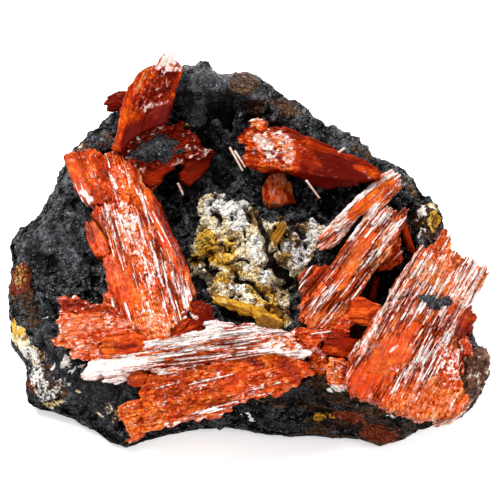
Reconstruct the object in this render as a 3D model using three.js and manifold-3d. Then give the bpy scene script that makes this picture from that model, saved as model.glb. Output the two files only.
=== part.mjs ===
// Crocoite on matrix: a cabinet specimen of orange-red crocoite prisms lying on
// a block of black gossan. Millimetres, +Z up, the flat trimmed back of the
// block on z = 0, +X along its length, -Y its low front edge.
import * as THREE from 'three';
import { mergeVertices } from 'three/addons/utils/BufferGeometryUtils.js';
import Module from 'manifold-3d';

const wasm = await Module();
wasm.setup();

// ---------------------------------------------------------------- dimensions
const GAP = 0.32;                // clearance where two pieces meet
const END_GAP = 0.3;             // extra clearance past a crystal's broken end
const BASE_INSET = 0.16;         // how far the block narrows to its base, per mm of height
const BASE_INSET_MIN = 0.5;      // narrowing of the base where the edge is low
const AROUND = 64;               // facets round the block
const RINGS = [1, 0.92, 0.83, 0.74, 0.65, 0.56, 0.47, 0.38, 0.29, 0.2, 0.1];
const CENTRE = [-0.5, -1.5];     // point that the rings of the top surface close in on
const LUMP = 0.34;               // height of the smallest knobs on the block
const LEAN = 30;                 // the broad faces of the crystals lean this far to the front
const CHAMFER = 0.45;            // worn edge round the face of a crystal
const RELIEF = 0.3;              // how far the blades stand out of a crystal's face
const UNEVEN = 0.16;             // unevenness of a crystal's rim
const NEEDLE_SIDES = 6;
const SHIFT = [0.45, 1.38];      // brings the middle of the box over the origin

// Widest outline of the block: x, y and the height at which it is widest.
const OUTLINE = [
  [-31.8, -1.2, 5.5], [-31.5, 3.1, 6], [-30.2, 5.8, 6.5], [-28.4, 7.2, 7],
  [-26.7, 9.6, 7.5], [-25.2, 11.8, 8.5], [-24.2, 14.3, 9], [-23.2, 16.1, 10],
  [-21.6, 17.8, 10.5], [-19.4, 19.8, 11], [-17.5, 20.9, 12], [-16.1, 23.1, 13],
  [-13.8, 24.2, 14], [-11.2, 24.2, 15.5], [-8.9, 23.8, 17], [-6.6, 24.3, 18.5],
  [-4.2, 22.9, 18.5], [-1.7, 22.4, 18], [0.3, 22.9, 17.5], [2.2, 21.8, 17],
  [4.6, 19.5, 16.5], [6.9, 18.9, 16], [9.4, 16.4, 15.5], [12.4, 15.1, 15],
  [14, 13.5, 14.5], [15.9, 12, 14], [18.5, 11.4, 13.5], [21.1, 9.3, 13],
  [23.2, 7.4, 12], [25.1, 6.7, 11], [25.6, 4.8, 10], [26.1, 2.1, 9],
  [27.1, -0.7, 8], [28.1, -4.3, 7], [28.6, -8.2, 6], [29.3, -11.6, 5.5],
  [30.9, -13.5, 5.5], [30.8, -16.2, 5], [29.5, -18.3, 4], [27.4, -20.1, 3],
  [24.6, -20.8, 2], [22, -21.5, 1.4], [19.6, -23.1, 1.2], [17, -24, 1],
  [14.5, -22.8, 1.2], [12.3, -22.7, 1.2], [8.4, -22.4, 1.2], [3.9, -22.2, 1.2],
  [0.3, -21.9, 1.2], [-2.8, -21.1, 1.2], [-6.5, -21.4, 1.2], [-10.3, -22.2, 1.2],
  [-13.6, -23.1, 1.2], [-15.9, -24.1, 1.2], [-18.3, -23.5, 1.3], [-20.4, -21.8, 1.5],
  [-23, -20.2, 1.8], [-25.9, -19.1, 2], [-28.4, -18.2, 2.2], [-28.9, -16.3, 3],
  [-29.3, -13.6, 3.5], [-30.9, -10.9, 4], [-31.5, -8.8, 4.5], [-31.4, -5.4, 5],
];

// Shoulder of the block, where its side turns over into its top.
const SHOULDER = [
  [-29.4, -3.6, 8.5], [-29, -0.3, 9], [-27.9, 2.4, 9.5], [-26.3, 3.9, 10],
  [-24.8, 6.2, 10.5], [-23.4, 8.5, 11], [-22.4, 10.8, 11.5], [-21.2, 13.1, 12],
  [-19.8, 14.8, 12.5], [-17.8, 16, 13.5], [-16, 17.4, 14.5], [-14.1, 19.1, 15.5],
  [-12.3, 19.8, 16.5], [-10.4, 19.8, 18], [-8.6, 19.5, 19.5], [-6.6, 19.6, 20.5],
  [-4.2, 18.9, 20.5], [-1.8, 18.5, 19.8], [0, 18.6, 19.2], [1.8, 18.1, 18.5],
  [4, 16.4, 18], [6.3, 15.5, 17.5], [8.5, 13.8, 16.6], [10.9, 12.4, 15.6],
  [12.5, 11.1, 15.2], [14.6, 9.6, 14.7], [17.2, 9, 14.2], [19.5, 7.2, 13.7],
  [21.5, 5.4, 12.8], [23, 4.3, 12.2], [23.5, 2.6, 11.3], [24.2, -0, 10.6],
  [25, -3, 10], [25.9, -6.5, 9.6], [26.5, -9.9, 9], [27.1, -12.9, 8.6],
  [28.1, -15.3, 8.2], [27.6, -17.4, 7.8], [26.6, -19.6, 7.4], [25.2, -20.9, 7.2],
  [23, -22.2, 8.2], [20.7, -22.7, 9.5], [18.6, -22.9, 10.6], [16.3, -22.3, 11.2],
  [13.8, -21.7, 11.6], [11.9, -20.8, 11.8], [8.4, -19.7, 12], [4.6, -21.5, 11.2],
  [0.8, -21.1, 9.8], [-2.6, -20.6, 5.6], [-6.2, -21.2, 3.6], [-10.1, -22.1, 2.8],
  [-13.1, -22.7, 3], [-15.5, -22.8, 3.6], [-17.6, -22.3, 3.8], [-19.3, -21.1, 4.2],
  [-21.9, -19.5, 4.8], [-24.2, -18.4, 5.2], [-26.3, -17.4, 5.6], [-27, -15.8, 6.2],
  [-27.4, -13.9, 6.9], [-28.7, -11.9, 7.3], [-29.1, -9.6, 7.8], [-29.4, -6.7, 8.2],
];

// Heights of the top of the block: knolls, hollows and the seats of crystals.
const TOP = [
  [-24.7, 0.9, 11], [-22, -3.9, 11.6], [-24.6, -6.3, 10.5], [-20.8, 3.9, 11],
  [-26.6, -2.8, 9.6], [-25.8, -11.3, 9], [-23.2, -19.6, 5.4], [-15.6, 2.7, 10.6],
  [-12.9, -4.8, 10.6], [-16.8, -8, 11], [-9.8, 5.6, 8.2], [-11.2, 10, 8.4],
  [-7.6, -2.4, 7.6], [-8.9, 8.5, 8.4], [-8.7, 1.8, 8.2], [-5.9, 14, 9.4],
  [-3.3, 10.6, 10], [-2.6, 15.8, 9], [-1.3, 8.5, 11], [6.9, 7.2, 10.6],
  [10.4, 6.6, 11.6], [-6.5, 16.5, 20.4], [-7.8, 18.8, 20.6], [-4.7, 15, 18.4],
  [-8.5, 16.1, 18.6], [-9.2, 16.1, 15], [-1.3, 15.7, 19.2], [1.3, 16.1, 18],
  [-2.9, 15.5, 16], [0, 15.8, 14], [-5.5, 16.4, 11], [-3.7, 16.5, 11.2],
  [3.9, 13.4, 13], [10.5, 11.4, 12.4], [6.5, 14.9, 16], [11.8, 12.8, 14],
  [-12.8, 18.6, 16], [-16.4, 14.7, 12.8], [-5.2, 4.9, 12], [-1.3, 4.5, 12.6],
  [-4.5, -0.2, 13], [0, -0.3, 13.1], [8, -1.2, 12], [-2.6, -4.1, 13.2],
  [1.3, -4.5, 12.6], [4.7, -5.1, 9.8], [-6.5, -3.4, 12], [-7.1, -5.1, 9],
  [-2.3, -8.5, 11.8], [1.5, -10.1, 11.6], [-1.3, -6.5, 12.2], [-12.8, -20.3, 6.6],
  [-6.4, -19.7, 7.6], [0, -18.3, 9.6], [3.8, -19.8, 11], [-3.9, -20.7, 6],
  [7.7, -6.5, 11], [11.7, -2.3, 11.4], [13.3, 3.3, 12], [16.9, 4.4, 12],
  [18.5, 6.9, 13.2], [17.6, -3.2, 7.2], [16.4, -4.7, 7.2], [19.3, 0.5, 8.6],
  [21.1, 3.6, 11], [13.1, -13.5, 9], [22, -7.5, 10], [24.6, -2.9, 9.8],
  [10.3, -12.4, 11], [-19.3, -14.8, 10], [-20.6, -11.1, 11.2], [-15.2, 14.1, 13.2],
  [-14.1, 15.7, 15.1], [-16.7, 11.2, 11.3], [-12.7, 12.7, 12], [-8.8, 14.2, 12.8],
  [-8.7, 10.8, 10.5], [-7.1, 11.7, 10.9], [-5.5, 12.6, 11.3], [-19.7, 6.6, 10.6],
  [-20.8, 8.7, 11.2], [-16.8, 4.6, 10.7], [-15, -1.2, 10.5], [-13.3, -7, 10.3],
  [-13.2, 5.9, 12.2], [-10.9, -0.3, 12], [-8.7, -6.6, 11.8], [-16.1, 6.8, 11.3],
  [-16.9, 9.3, 11.6], [-17.7, 11.9, 11.9], [-20.4, 2.5, 11.1], [-19.7, 0.6, 11.1],
  [-19, -1.4, 11.1], [-23.5, -12.3, 10.9], [-19.4, -12.2, 10.9], [-15.4, -12.1, 10.9],
  [-17.6, -14.9, 10.9], [-15.9, -14.6, 11.1], [-14.1, -14.3, 11.3], [-12.9, -12, 10.8],
  [-11.3, -12.1, 10.8], [-9.7, -12.2, 10.8], [-10.1, -12.3, 11.5], [-7.9, -12.2, 11.4],
  [-5.7, -12, 11.3], [-17.2, -18.3, 10.5], [-6.8, -17.1, 11.1], [3.6, -15.9, 11.7],
  [-12.5, -15.9, 11.6], [-9.1, -15.2, 11.7], [-5.7, -14.5, 11.9], [-17.8, -19.4, 10.3],
  [-14.2, -19, 10.6], [-10.6, -18.6, 10.8], [-20.9, -17.6, 10.9], [-18.4, -17.6, 11.1],
  [-15.9, -17.5, 11.3], [-2.5, -15.3, 12.1], [0.8, -15.1, 12.3], [4.2, -14.9, 12.5],
  [-15.5, -19.2, 9.5], [-14.5, -19, 9.5], [-13.5, -18.8, 9.5], [-14.7, -22.1, 7],
  [-7.7, -20.9, 7.8], [-0.7, -19.6, 8.5], [-5.2, -20.5, 8], [0.4, -19.6, 8.7],
  [5.9, -18.7, 9.4], [-15, -22, 5.6], [-0.5, 12.1, 13.5], [2.7, 11.7, 13.8],
  [5.9, 11.3, 14.1], [5.6, 10.9, 14.2], [9.2, 10.1, 14.4], [12.9, 9.2, 14.6],
  [12.3, 9.8, 15.7], [14.1, 9.2, 15.8], [16, 8.7, 15.9], [11.8, 7.9, 14.7],
  [13.6, 7.7, 14.7], [15.5, 7.5, 14.7], [2.5, 8.4, 10.4], [4, 8.6, 10.6],
  [5.6, 8.8, 10.8], [10.2, -1.3, 12.4], [13, 1.4, 13.4], [8.9, -10.3, 11.4],
  [11.7, -6.4, 12.3], [12.7, -11.2, 10.7], [14.6, -10.6, 10.6], [16.5, -10, 10.5],
  [10.2, -16.1, 11], [11.8, -15.6, 10.9], [13.3, -15.1, 10.8], [10.2, -17.8, 10.8],
  [11.3, -19, 10.8], [12.4, -20.1, 10.8], [5.8, -14.8, 10.8], [7.5, -14.5, 11],
  [9.2, -14.3, 11.2], [16.7, -19.2, 10.7], [20.5, -13.3, 11.1], [14.7, -17.6, 10.8],
  [17.6, -12.2, 11.2], [23.1, -14.6, 10.6], [25.5, -10.9, 10.8], [21.7, -19.5, 10.2],
  [23.2, -17.8, 10], [27.3, -16.2, 8.6], [3.2, -0.8, 13.5], [3.7, 0.1, 13.7],
  [4.3, 0.9, 13.9], [-3.7, -9.4, 11.9], [-0.5, -10.8, 11.7], [2.8, -12.3, 11.5],
];

// Crystals and broken blocks: a point on the broad face, the directions along
// the fibres, across them and out of the face, the thickness, and the outline
// of the face as distances along and across from that point.
const SLABS = {
  great_blade: [
    [[17.01, -21.01, 14.82], [0.4695, 0.8809, 0.0593], [-0.8603, 0.4414, 0.2549], [0.1983, -0.1707, 0.9652], 4.2, [
      [15.82, 4.12], [17.52, 3.98], [19.73, 2.31], [21.67, 2.58], [21.25, 1.47], [19.62, 0.46], [19.81, -5.12],
      [13.24, -4.69], [9.59, -4.98], [8.00, -7.00], [5.19, -8.33], [2.74, -10.95], [0.17, -10.38], [-0.96, -9.35],
      [-2.88, -5.80], [-3.32, -4.12], [-4.19, 2.48], [-3.25, 3.72], [-1.20, 4.23], [0.03, 5.04], [8.88, 4.15],
      [10.60, 4.47],
    ]],
  ],
  right_bundle: [
    [[8.03, -12.4, 14.86], [0.6096, 0.7747, 0.1677], [-0.7779, 0.5442, 0.3142], [0.1521, -0.322, 0.9344], 4.0, [
      [-1.29, 0.94], [-0.14, 2.00], [1.07, 1.96], [1.50, 3.28], [2.83, 4.32], [4.05, 4.28], [6.62, 2.00],
      [16.72, 2.76], [17.64, -0.18], [18.77, -1.12], [12.20, -3.07], [9.33, -2.48], [2.56, -3.29], [0.89, -3.11],
      [-1.50, -1.03],
    ]],
  ],
  upper_right_prism: [
    [[9.45, -1.66, 14.92], [0.7475, 0.6219, 0.2333], [-0.6592, 0.6512, 0.376], [0.0819, -0.4349, 0.8968], 3.2, [
      [-0.16, 0.66], [4.87, 1.26], [11.60, 1.41], [12.92, 0.95], [13.19, -0.31], [12.60, -1.18], [10.77, -1.48],
      [9.20, -1.48], [7.85, -0.66], [5.99, -0.41], [1.99, -1.21], [0.41, -1.04], [-0.65, -0.29],
    ]],
  ],
  twin_blade: [
    [[-16.55, 7.17, 15.08], [0.2445, -0.9694, -0.0219], [0.9611, 0.2393, 0.1381], [-0.1287, -0.0548, 0.9902], 4.0, [
      [2.43, -4.03], [2.45, -2.55], [1.48, -1.78], [-4.85, -1.34], [-4.91, -0.11], [-4.40, 0.99], [-2.94, 1.18],
      [-1.49, 2.31], [0.35, 2.27], [4.35, 3.72], [18.49, 5.32], [19.22, 4.34], [20.43, 3.91], [20.66, 2.79],
      [23.48, -0.03], [23.34, -1.86], [16.07, -6.35], [14.36, -5.14], [10.06, -4.91], [9.44, -3.56], [4.54, -4.13],
      [3.08, -4.86],
    ]],
  ],
  left_knob: [
    [[-19.62, 5.08, 14.53], [-0.378, 0.9085, 0.1783], [-0.9182, -0.3431, -0.1981], [-0.1188, -0.2386, 0.9638], 3.6, [
      [6.90, 1.87], [7.10, 0.65], [6.39, -1.90], [5.08, -2.79], [-0.21, -1.65], [-1.00, -0.77], [-0.66, 0.65],
      [0.14, 1.74], [1.40, 2.23],
    ]],
  ],
  left_sliver: [
    [[-21.01, 2.48, 13.47], [0.3732, -0.9269, -0.0396], [0.9106, 0.3578, 0.2066], [-0.1773, -0.1132, 0.9776], 2.4, [
      [0.47, -0.32], [0.43, 0.55], [2.04, 0.92], [5.33, 0.89], [5.82, -0.01], [5.27, -0.79], [3.92, -0.97],
    ]],
  ],
  left_rough_block: [
    [[-24.3, -13.7, 14.25], [0.9984, 0.0572, 0], [-0.0495, 0.865, 0.4994], [0.0286, -0.4986, 0.8664], 3.6, [
      [0.19, 3.34], [2.11, 3.50], [5.38, 2.32], [5.79, 2.81], [10.94, -1.67], [8.92, -1.06], [6.35, -1.31],
      [4.90, -2.14], [4.58, -3.53], [5.69, -4.35], [1.48, -4.14], [1.40, -3.11], [2.21, -2.26], [-0.23, -2.39],
      [-0.96, -1.72], [-0.02, -0.87],
    ]],
  ],
  left_gem: [
    [[-18.91, -16.48, 13.99], [0.9965, 0.0769, 0.0325], [-0.0829, 0.863, 0.4983], [0.0103, -0.4992, 0.8664], 3.2, [
      [-0.18, 0.56], [1.30, 1.33], [3.49, 1.53], [5.73, 0.83], [6.93, -0.16], [5.83, -1.09], [0.68, -1.43],
      [-0.28, -0.71],
    ]],
  ],
  middle_rough_block: [
    [[-10.26, -14.08, 14.11], [0.899, 0.4333, 0.0639], [-0.4126, 0.7889, 0.4555], [0.1469, -0.4358, 0.888], 3.2, [
      [0.51, 0.10], [2.14, 1.19], [3.01, 1.22], [2.87, 0.30], [0.56, -1.33], [-0.83, -0.98],
    ]],
  ],
  deep_red_block: [
    [[-8.05, -13.59, 14.53], [0.8358, 0.549, 0], [-0.4944, 0.7528, 0.4346], [0.2386, -0.3633, 0.9006], 3.4, [
      [1.79, 2.01], [2.96, 1.66], [4.03, 0.63], [3.61, -0.61], [2.15, -1.27], [0.36, -1.46], [-1.51, -1.02],
      [0.99, 0.39],
    ]],
  ],
  long_prism: [
    [[-20.92, -19.82, 13.19], [0.9909, 0.1213, 0.058], [-0.1341, 0.8582, 0.4955], [0.0103, -0.4988, 0.8667], 3.2, [
      [-0.82, -0.62], [0.45, 1.13], [2.43, 1.51], [8.21, 1.50], [7.98, 2.68], [15.63, 3.19], [15.63, 4.09],
      [17.07, 4.28], [19.47, 3.06], [21.31, 3.32], [26.69, 1.31], [27.13, -0.17], [28.50, -1.51], [27.92, -1.95],
      [23.61, -0.59], [9.36, -1.36], [6.91, -0.51], [5.11, -0.52], [4.72, -1.50], [3.62, -1.99], [2.18, -1.28],
      [1.95, -0.10], [0.68, -0.95],
    ]],
  ],
  round_crystal: [
    [[-15.53, -20.03, 11.73], [0.9936, 0.1131, 0], [-0.0981, 0.8618, 0.4976], [0.0563, -0.4944, 0.8674], 2.4, [
      [-0.16, 0.04], [0.18, 0.91], [1.35, 1.05], [2.46, 0.68], [2.77, -0.12], [2.30, -0.97], [1.15, -0.98],
      [0.15, -0.63],
    ]],
  ],
  front_cluster: [
    [[-16.39, -24, 10.13], [0.9727, 0.1946, 0.1268], [-0.2319, 0.8424, 0.4864], [-0.0121, -0.5025, 0.8645], 4.0, [
      [-0.31, 0.54], [0.83, 0.93], [2.50, 0.79], [3.25, 2.31], [4.09, 2.51], [4.63, 3.69], [9.24, 3.25],
      [10.88, 3.51], [20.16, 2.87], [23.76, 1.49], [24.77, -0.84], [23.66, -1.10], [22.68, -1.92], [21.60, -1.53],
      [21.02, -2.31], [19.76, -2.66], [19.01, -1.96], [17.87, -2.34], [16.69, -1.80], [11.38, -3.16], [9.28, -3.18],
      [7.82, -2.70], [4.33, -3.05], [1.39, -2.74], [0.72, -3.90], [0.10, -3.75],
    ]],
  ],
  cross_prism: [
    [[-16.97, 10.17, 15.11], [0.9499, 0.2725, 0.1531], [-0.3126, 0.8226, 0.4749], [0.0035, -0.499, 0.8666], 4.2, [
      [0.48, 1.30], [2.21, 2.38], [4.55, 2.84], [6.53, 3.01], [7.31, 2.48], [9.04, 2.32], [9.99, 1.05],
      [10.12, -0.22], [11.69, -2.52], [8.36, -2.25], [5.19, -3.12], [2.56, -4.45], [1.98, -2.89], [2.06, -1.41],
    ]],
  ],
  dark_wedge: [
    [[-8.41, 9.81, 13.63], [0.8684, 0.4851, 0.1024], [-0.477, 0.7612, 0.4395], [0.1353, -0.4305, 0.8924], 3.2, [
      [0.45, 1.23], [4.08, 0.19], [2.98, -0.71], [-0.19, -1.84], [-0.93, -1.30], [-0.53, 0.27],
    ]],
  ],
  tall_prism: [
    [[-16.93, 11.14, 17.05], [0.4106, 0.6493, 0.6402], [-0.9067, 0.3653, 0.2109], [-0.097, -0.6671, 0.7387], 5.0, [
      [-0.60, 0.83], [7.53, 2.16], [9.59, 1.80], [10.82, 1.35], [11.91, 0.27], [13.21, 0.28], [13.85, -0.15],
      [12.88, -3.01], [5.81, -4.04], [3.03, -1.57], [1.39, -0.58], [-0.04, -0.36],
    ]],
  ],
  rear_nub: [
    [[-19.16, 19.57, 14.39], [0.9565, 0.0955, 0.2757], [-0.2247, 0.8439, 0.4872], [-0.1861, -0.528, 0.8286], 2.4, [
      [0.13, -0.01], [1.00, 0.73], [2.45, 1.06], [3.50, 0.82], [2.72, -0.75], [1.78, -1.21], [0.21, -0.84],
    ]],
  ],
  gem_prism: [
    [[-1.73, 10.56, 18.66], [0.9701, -0.2356, 0.0576], [0.1777, 0.8522, 0.492], [-0.165, -0.4671, 0.8687], 5.0, [
      [-0.18, 0.49], [1.07, 2.42], [6.78, 3.28], [18.74, 0.25], [18.69, -0.94], [16.33, -1.74], [15.78, -2.36],
      [11.15, -3.18], [5.88, -2.00], [4.66, -2.61], [1.94, -2.30], [1.15, -1.65], [1.08, 0.19],
    ]],
  ],
  round_gem: [
    [[2.77, 5.96, 13.97], [0.2407, 0.9608, 0.1374], [-0.9661, 0.2236, 0.1291], [0.0933, -0.1638, 0.9821], 3.6, [
      [1.26, 1.17], [2.46, 1.06], [3.73, 0.16], [3.52, -1.10], [1.37, -3.25], [-0.78, -0.28], [-0.32, 0.64],
    ]],
  ],
  box_prism: [
    [[12.45, -11.53, 14.04], [0.9976, 0.0543, -0.0419], [-0.0262, 0.8657, 0.4998], [0.0634, -0.4976, 0.8651], 3.8, [
      [-0.29, 0.03], [0.39, 1.29], [1.30, 1.78], [4.73, 0.15], [3.14, -1.73], [0.58, -1.28], [-0.31, -0.74],
    ]],
  ],
  red_dome: [
    [[9.49, -16.74, 14.45], [0.9994, 0.0346, 0], [-0.0299, 0.8656, 0.4998], [0.0173, -0.4995, 0.8662], 3.8, [
      [-0.33, -0.46], [-0.05, 0.55], [1.78, 1.90], [2.80, 1.74], [3.79, 0.69], [4.13, -0.60], [2.19, -1.56],
    ]],
  ],
  inner_block: [
    [[5.66, -15.65, 14.07], [0.9922, 0.1149, 0.0484], [-0.1237, 0.8594, 0.4962], [0.0154, -0.4983, 0.8669], 3.4, [
      [-0.32, 0.84], [0.90, 1.33], [2.64, 0.86], [5.50, 1.14], [6.91, 2.12], [7.58, 1.27], [6.82, 0.33],
      [5.69, 0.60], [3.60, -0.68], [3.07, -1.90], [4.00, -2.66], [3.27, -5.40], [1.67, -3.78], [1.93, -1.76],
    ]],
  ],
  lower_block: [
    [[10.03, -19.65, 13.99], [0.975, -0.2224, 0], [0.1938, 0.8496, 0.4905], [-0.1091, -0.4782, 0.8714], 3.2, [
      [0.02, 1.31], [2.38, 1.26], [3.17, -2.09], [0.27, -1.89], [-0.18, -0.29],
    ]],
  ],
  side_shards: [
    [[27.17, -13.98, 12.16], [0.3197, 0.9388, 0.1287], [-0.9396, 0.2965, 0.1712], [0.1225, -0.1756, 0.9768], 3.0, [
      [-0.97, 0.65], [1.01, 1.15], [3.10, 1.01], [4.30, 0.17], [3.73, 0.12], [3.59, -1.02], [2.75, -0.34],
      [2.03, -1.11], [0.79, -0.15], [0.11, -0.64],
    ]],
  ],
  lumpy_crystal: [
    [[26.99, -18.77, 12.58], [0.1983, 0.9756, 0.0938], [-0.9761, 0.188, 0.1086], [0.0883, -0.1131, 0.9897], 3.0, [
      [3.05, 1.04], [4.11, 0.18], [2.53, -0.89], [1.85, 0.16], [-0.76, -0.19],
    ]],
  ],
  brown_knob: [
    [[28.33, -20.93, 10.22], [0.2911, 0.9223, 0.2543], [-0.954, 0.2597, 0.1499], [0.0722, -0.2862, 0.9554], 3.6, [
      [4.04, 2.36], [5.93, 0.36], [5.53, -0.56], [3.60, -1.39], [0.25, -0.77], [-0.82, -0.01], [1.66, 1.66],
    ]],
  ],
  side_knob: [
    [[17.25, -3.43, 12.65], [0.6828, 0.6925, 0.2328], [-0.7237, 0.5976, 0.345], [0.0998, -0.4041, 0.9093], 3.0, [
      [-0.25, 0.40], [2.82, 0.96], [3.55, 0.57], [2.87, -0.60], [1.37, -1.29], [0.08, -1.07], [-0.64, -0.32],
    ]],
  ],
  ochre_band: [
    [[-5.05, -9.39, 14.06], [0.909, -0.4124, -0.0607], [0.3921, 0.7967, 0.46], [-0.1413, -0.4419, 0.8859], 2.2, [
      [0.19, 0.02], [0.57, 0.45], [5.85, 1.29], [8.74, 1.12], [9.97, 0.54], [9.97, -0.44], [8.78, -0.94],
      [5.88, -0.09], [2.32, -0.34],
    ]],
  ],
};

// Parallel blades that stand out as ridges on the crystals' faces, and the
// crystals that are a single blade. A blade: centre of one end, centre of the
// other, width, thickness, turn about its length in degrees, slant of both
// broken ends, section, and taper to the second end.
const CRYSTALS = {
  tall_prism: [
    [[-15.67, 13.48, 14.6], [-11.82, 19.07, 21.4], 5.59, 5.4, 0, 0.2, 0.6, 0, 1.0],
    [[-14.19, 16.8, 18.9], [-13.37, 19.7, 22.6], 1.56, 3.6, 8, 0.0, -0.4, 1, 0.8],
    [[-11.45, 17.23, 19.2], [-10.75, 20.47, 24.3], 2.73, 4.0, -6, 0.0, 0.5, 2, 0.6],
  ],
  twin_blade: [
    [[-17.32, 6.43, 12.4], [-12.74, -8.88, 12.0], 6.5, 4.4, 0, 0.9, -0.7, 0, 1.0],
    [[-13.93, 7.84, 13.6], [-7.97, -8.53, 13.2], 2.34, 3.8, -14, 0.5, -0.8, 1, 0.95],
    [[-15.88, 6.01, 12.6], [-17.91, 12.68, 13.4], 4.16, 3.8, 0, 0.7, 0.6, 2, 0.85],
  ],
  long_prism: [
    [[-20.44, -18.63, 11.6], [6.9, -15.57, 13.2], 2.6, 3.6, 0, 1.2, -1.2, 0, 1.0],
    [[-13.56, -16.1, 12.3], [-4.61, -14.33, 12.8], 1.69, 2.6, 0, 0.4, 0.6, 1, 0.8],
    [[-18.91, -19.55, 10.9], [-9.46, -18.48, 11.6], 1.3, 2.4, 0, 0.5, -0.8, 1, 0.9],
    [[-21.74, -17.64, 11.4], [-15.08, -17.53, 12.0], 1.04, 2.2, 0, 0.4, -0.5, 1, 0.9],
    [[-3.58, -15.31, 13.0], [5.24, -14.8, 13.4], 2.21, 2.8, 0, 0.6, -0.5, 2, 0.95],
  ],
  gem_prism: [
    [[-1.56, 12.23, 15.4], [6.89, 11.14, 16.2], 5.46, 5.0, 0, 0.8, -0.6, 2, 1.0],
    [[4.42, 11.17, 16.4], [14.01, 8.95, 16.8], 5.72, 5.4, 0, 0.8, -0.8, 2, 0.92],
    [[11.69, 9.98, 16.6], [16.6, 8.5, 16.8], 1.3, 2.8, 0, 0.4, -0.6, 1, 0.7],
    [[11.16, 8.01, 15.6], [16.09, 7.41, 15.6], 1.3, 2.8, 0, 0.4, -0.6, 1, 0.7],
  ],
  top_speck: [
    [[0.0, 14.88, 16.8], [1.43, 15.1, 17.2], 1.04, 2.2, 0, 0.3, 0.3, 2, 0.9],
  ],
  upper_right_prism: [
    [[9.04, -2.44, 13.2], [19.04, 7.11, 16.6], 2.47, 3.4, 0, 0.7, 0.9, 0, 0.95],
    [[10.35, 0.61, 13.6], [17.35, 5.99, 16.2], 1.3, 2.6, -12, 0.4, 0.6, 1, 0.8],
    [[8.78, -3.7, 12.8], [12.41, -0.4, 13.8], 1.56, 2.4, 10, 0.4, -0.5, 1, 0.85],
  ],
  right_bundle: [
    [[7.69, -11.98, 12.8], [17.69, 1.9, 16.0], 4.68, 4.6, 0, 0.9, 0.6, 0, 0.97],
    [[10.78, -11.58, 12.6], [19.78, 2.71, 15.4], 1.82, 3.6, 14, 0.5, 0.6, 1, 0.85],
    [[7.18, -13.23, 12.4], [11.58, -7.01, 13.4], 3.12, 3.4, 0, 0.5, 0.5, 2, 0.9],
  ],
  hollow_crystal: [
    [[19.79, 3.63, 11.0], [21.04, -0.53, 10.4], 1.04, 1.8, 0, 0.2, 0.3, 1, 0.8],
  ],
  hollow_strip: [
    [[15.66, -7.19, 9.0], [16.47, -3.66, 9.6], 1.04, 1.8, 0, 0.3, 0.3, 1, 0.8],
  ],
  great_blade: [
    [[15.28, -21.38, 12.4], [26.82, -3.39, 13.8], 7.54, 4.8, 0, 1.2, -0.9, 0, 1.0],
    [[13.65, -19.53, 12.2], [22.45, -3.3, 13.4], 2.86, 4.0, -10, 0.6, 0.7, 1, 0.95],
    [[22.27, -15.93, 12.0], [29.55, -4.78, 12.6], 3.12, 4.0, 12, 0.6, -0.8, 1, 0.95],
    [[22.34, -9.38, 13.4], [25.19, -0.0, 14.4], 1.95, 3.0, 0, 0.0, 0.5, 2, 0.6],
    [[18.09, -22.07, 11.8], [25.82, -19.83, 10.6], 5.98, 4.2, 0, 0.8, 0.9, 2, 0.92],
    [[21.18, -20.08, 11.6], [25.64, -15.05, 11.2], 3.64, 3.8, 0, 0.5, 0.6, 2, 0.9],
  ],
  pale_shard: [
    [[24.0, -23.39, 9.4], [26.85, -24.09, 8.0], 1.17, 1.8, 0, 0.2, 0.3, 1, 0.7],
  ],
  ochre_crystal: [
    [[2.97, -1.12, 14.0], [4.53, 1.23, 14.6], 1.17, 2.2, 0, 0.3, 0.3, 0, 0.9],
  ],
};

// Black crusts grown over two of the crystals.
const CRUSTS = {
  crust_on_cross_prism: { rise: 1.70, facing: [0.031, -0.488, 0.872], rim: [
  [-16.41, 11.18, 15.13], [-15.89, 11.98, 15.56], [-14.59, 12.8, 15.97], [-13.29, 13.27, 16.19],
  [-12.25, 13.97, 16.55], [-10.94, 14.11, 16.57], [-9.64, 13.67, 16.29], [-8.34, 12.78, 15.74],
  [-8.21, 11.76, 15.17], [-9.12, 11.06, 14.81], [-10.42, 10.36, 14.46], [-12.24, 10.56, 14.64],
  [-13.55, 10.2, 14.48], [-15.11, 10.52, 14.71],
  ] },
  crust_on_great_blade: { rise: 1.30, facing: [0.210, -0.209, 0.955], rim: [
  [20.98, -10.27, 15.51], [22.79, -9.55, 15.27], [24.33, -10.03, 14.83], [25.89, -9.34, 14.64],
  [26.53, -9.92, 14.37], [25.61, -11.07, 14.32], [24.45, -11.33, 14.52], [23.66, -12.2, 14.5],
  [22.51, -11.67, 14.87], [21.36, -11.15, 15.24],
  ] },
};

// Free needles: both ends and radius.
const NEEDLES = {
  needle_1: [[-2.59, 10.17, 18.80], [-0.91, 8.14, 16.40], 0.16],
  needle_2: [[-1.94, 9.59, 19.00], [-0.65, 7.90, 17.80], 0.14],
  needle_3: [[7.23, 5.70, 18.20], [9.06, 4.39, 15.60], 0.15],
  needle_4: [[11.35, 8.38, 20.50], [12.38, 9.05, 20.90], 0.15],
  needle_5: [[-9.39, 8.41, 12.90], [-8.74, 7.34, 11.90], 0.15],
};

// Cross-sections across a blade: width runs -1..1, thickness -1..1, front up.
const SECTIONS = [
  [[-1, -0.3], [-0.8, -1], [0.8, -1], [1, -0.2], [0.82, 0.8], [0.42, 0.7], [0.1, 1], [-0.34, 0.76], [-0.78, 0.86]],
  [[-1, -0.2], [-0.6, -1], [0.65, -1], [1, -0.1], [0.6, 0.85], [-0.35, 1]],
  [[-1, -0.35], [-0.7, -1], [0.7, -1], [1, -0.4], [0.94, 0.45], [0.3, 1], [-0.55, 0.86]],
];

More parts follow.
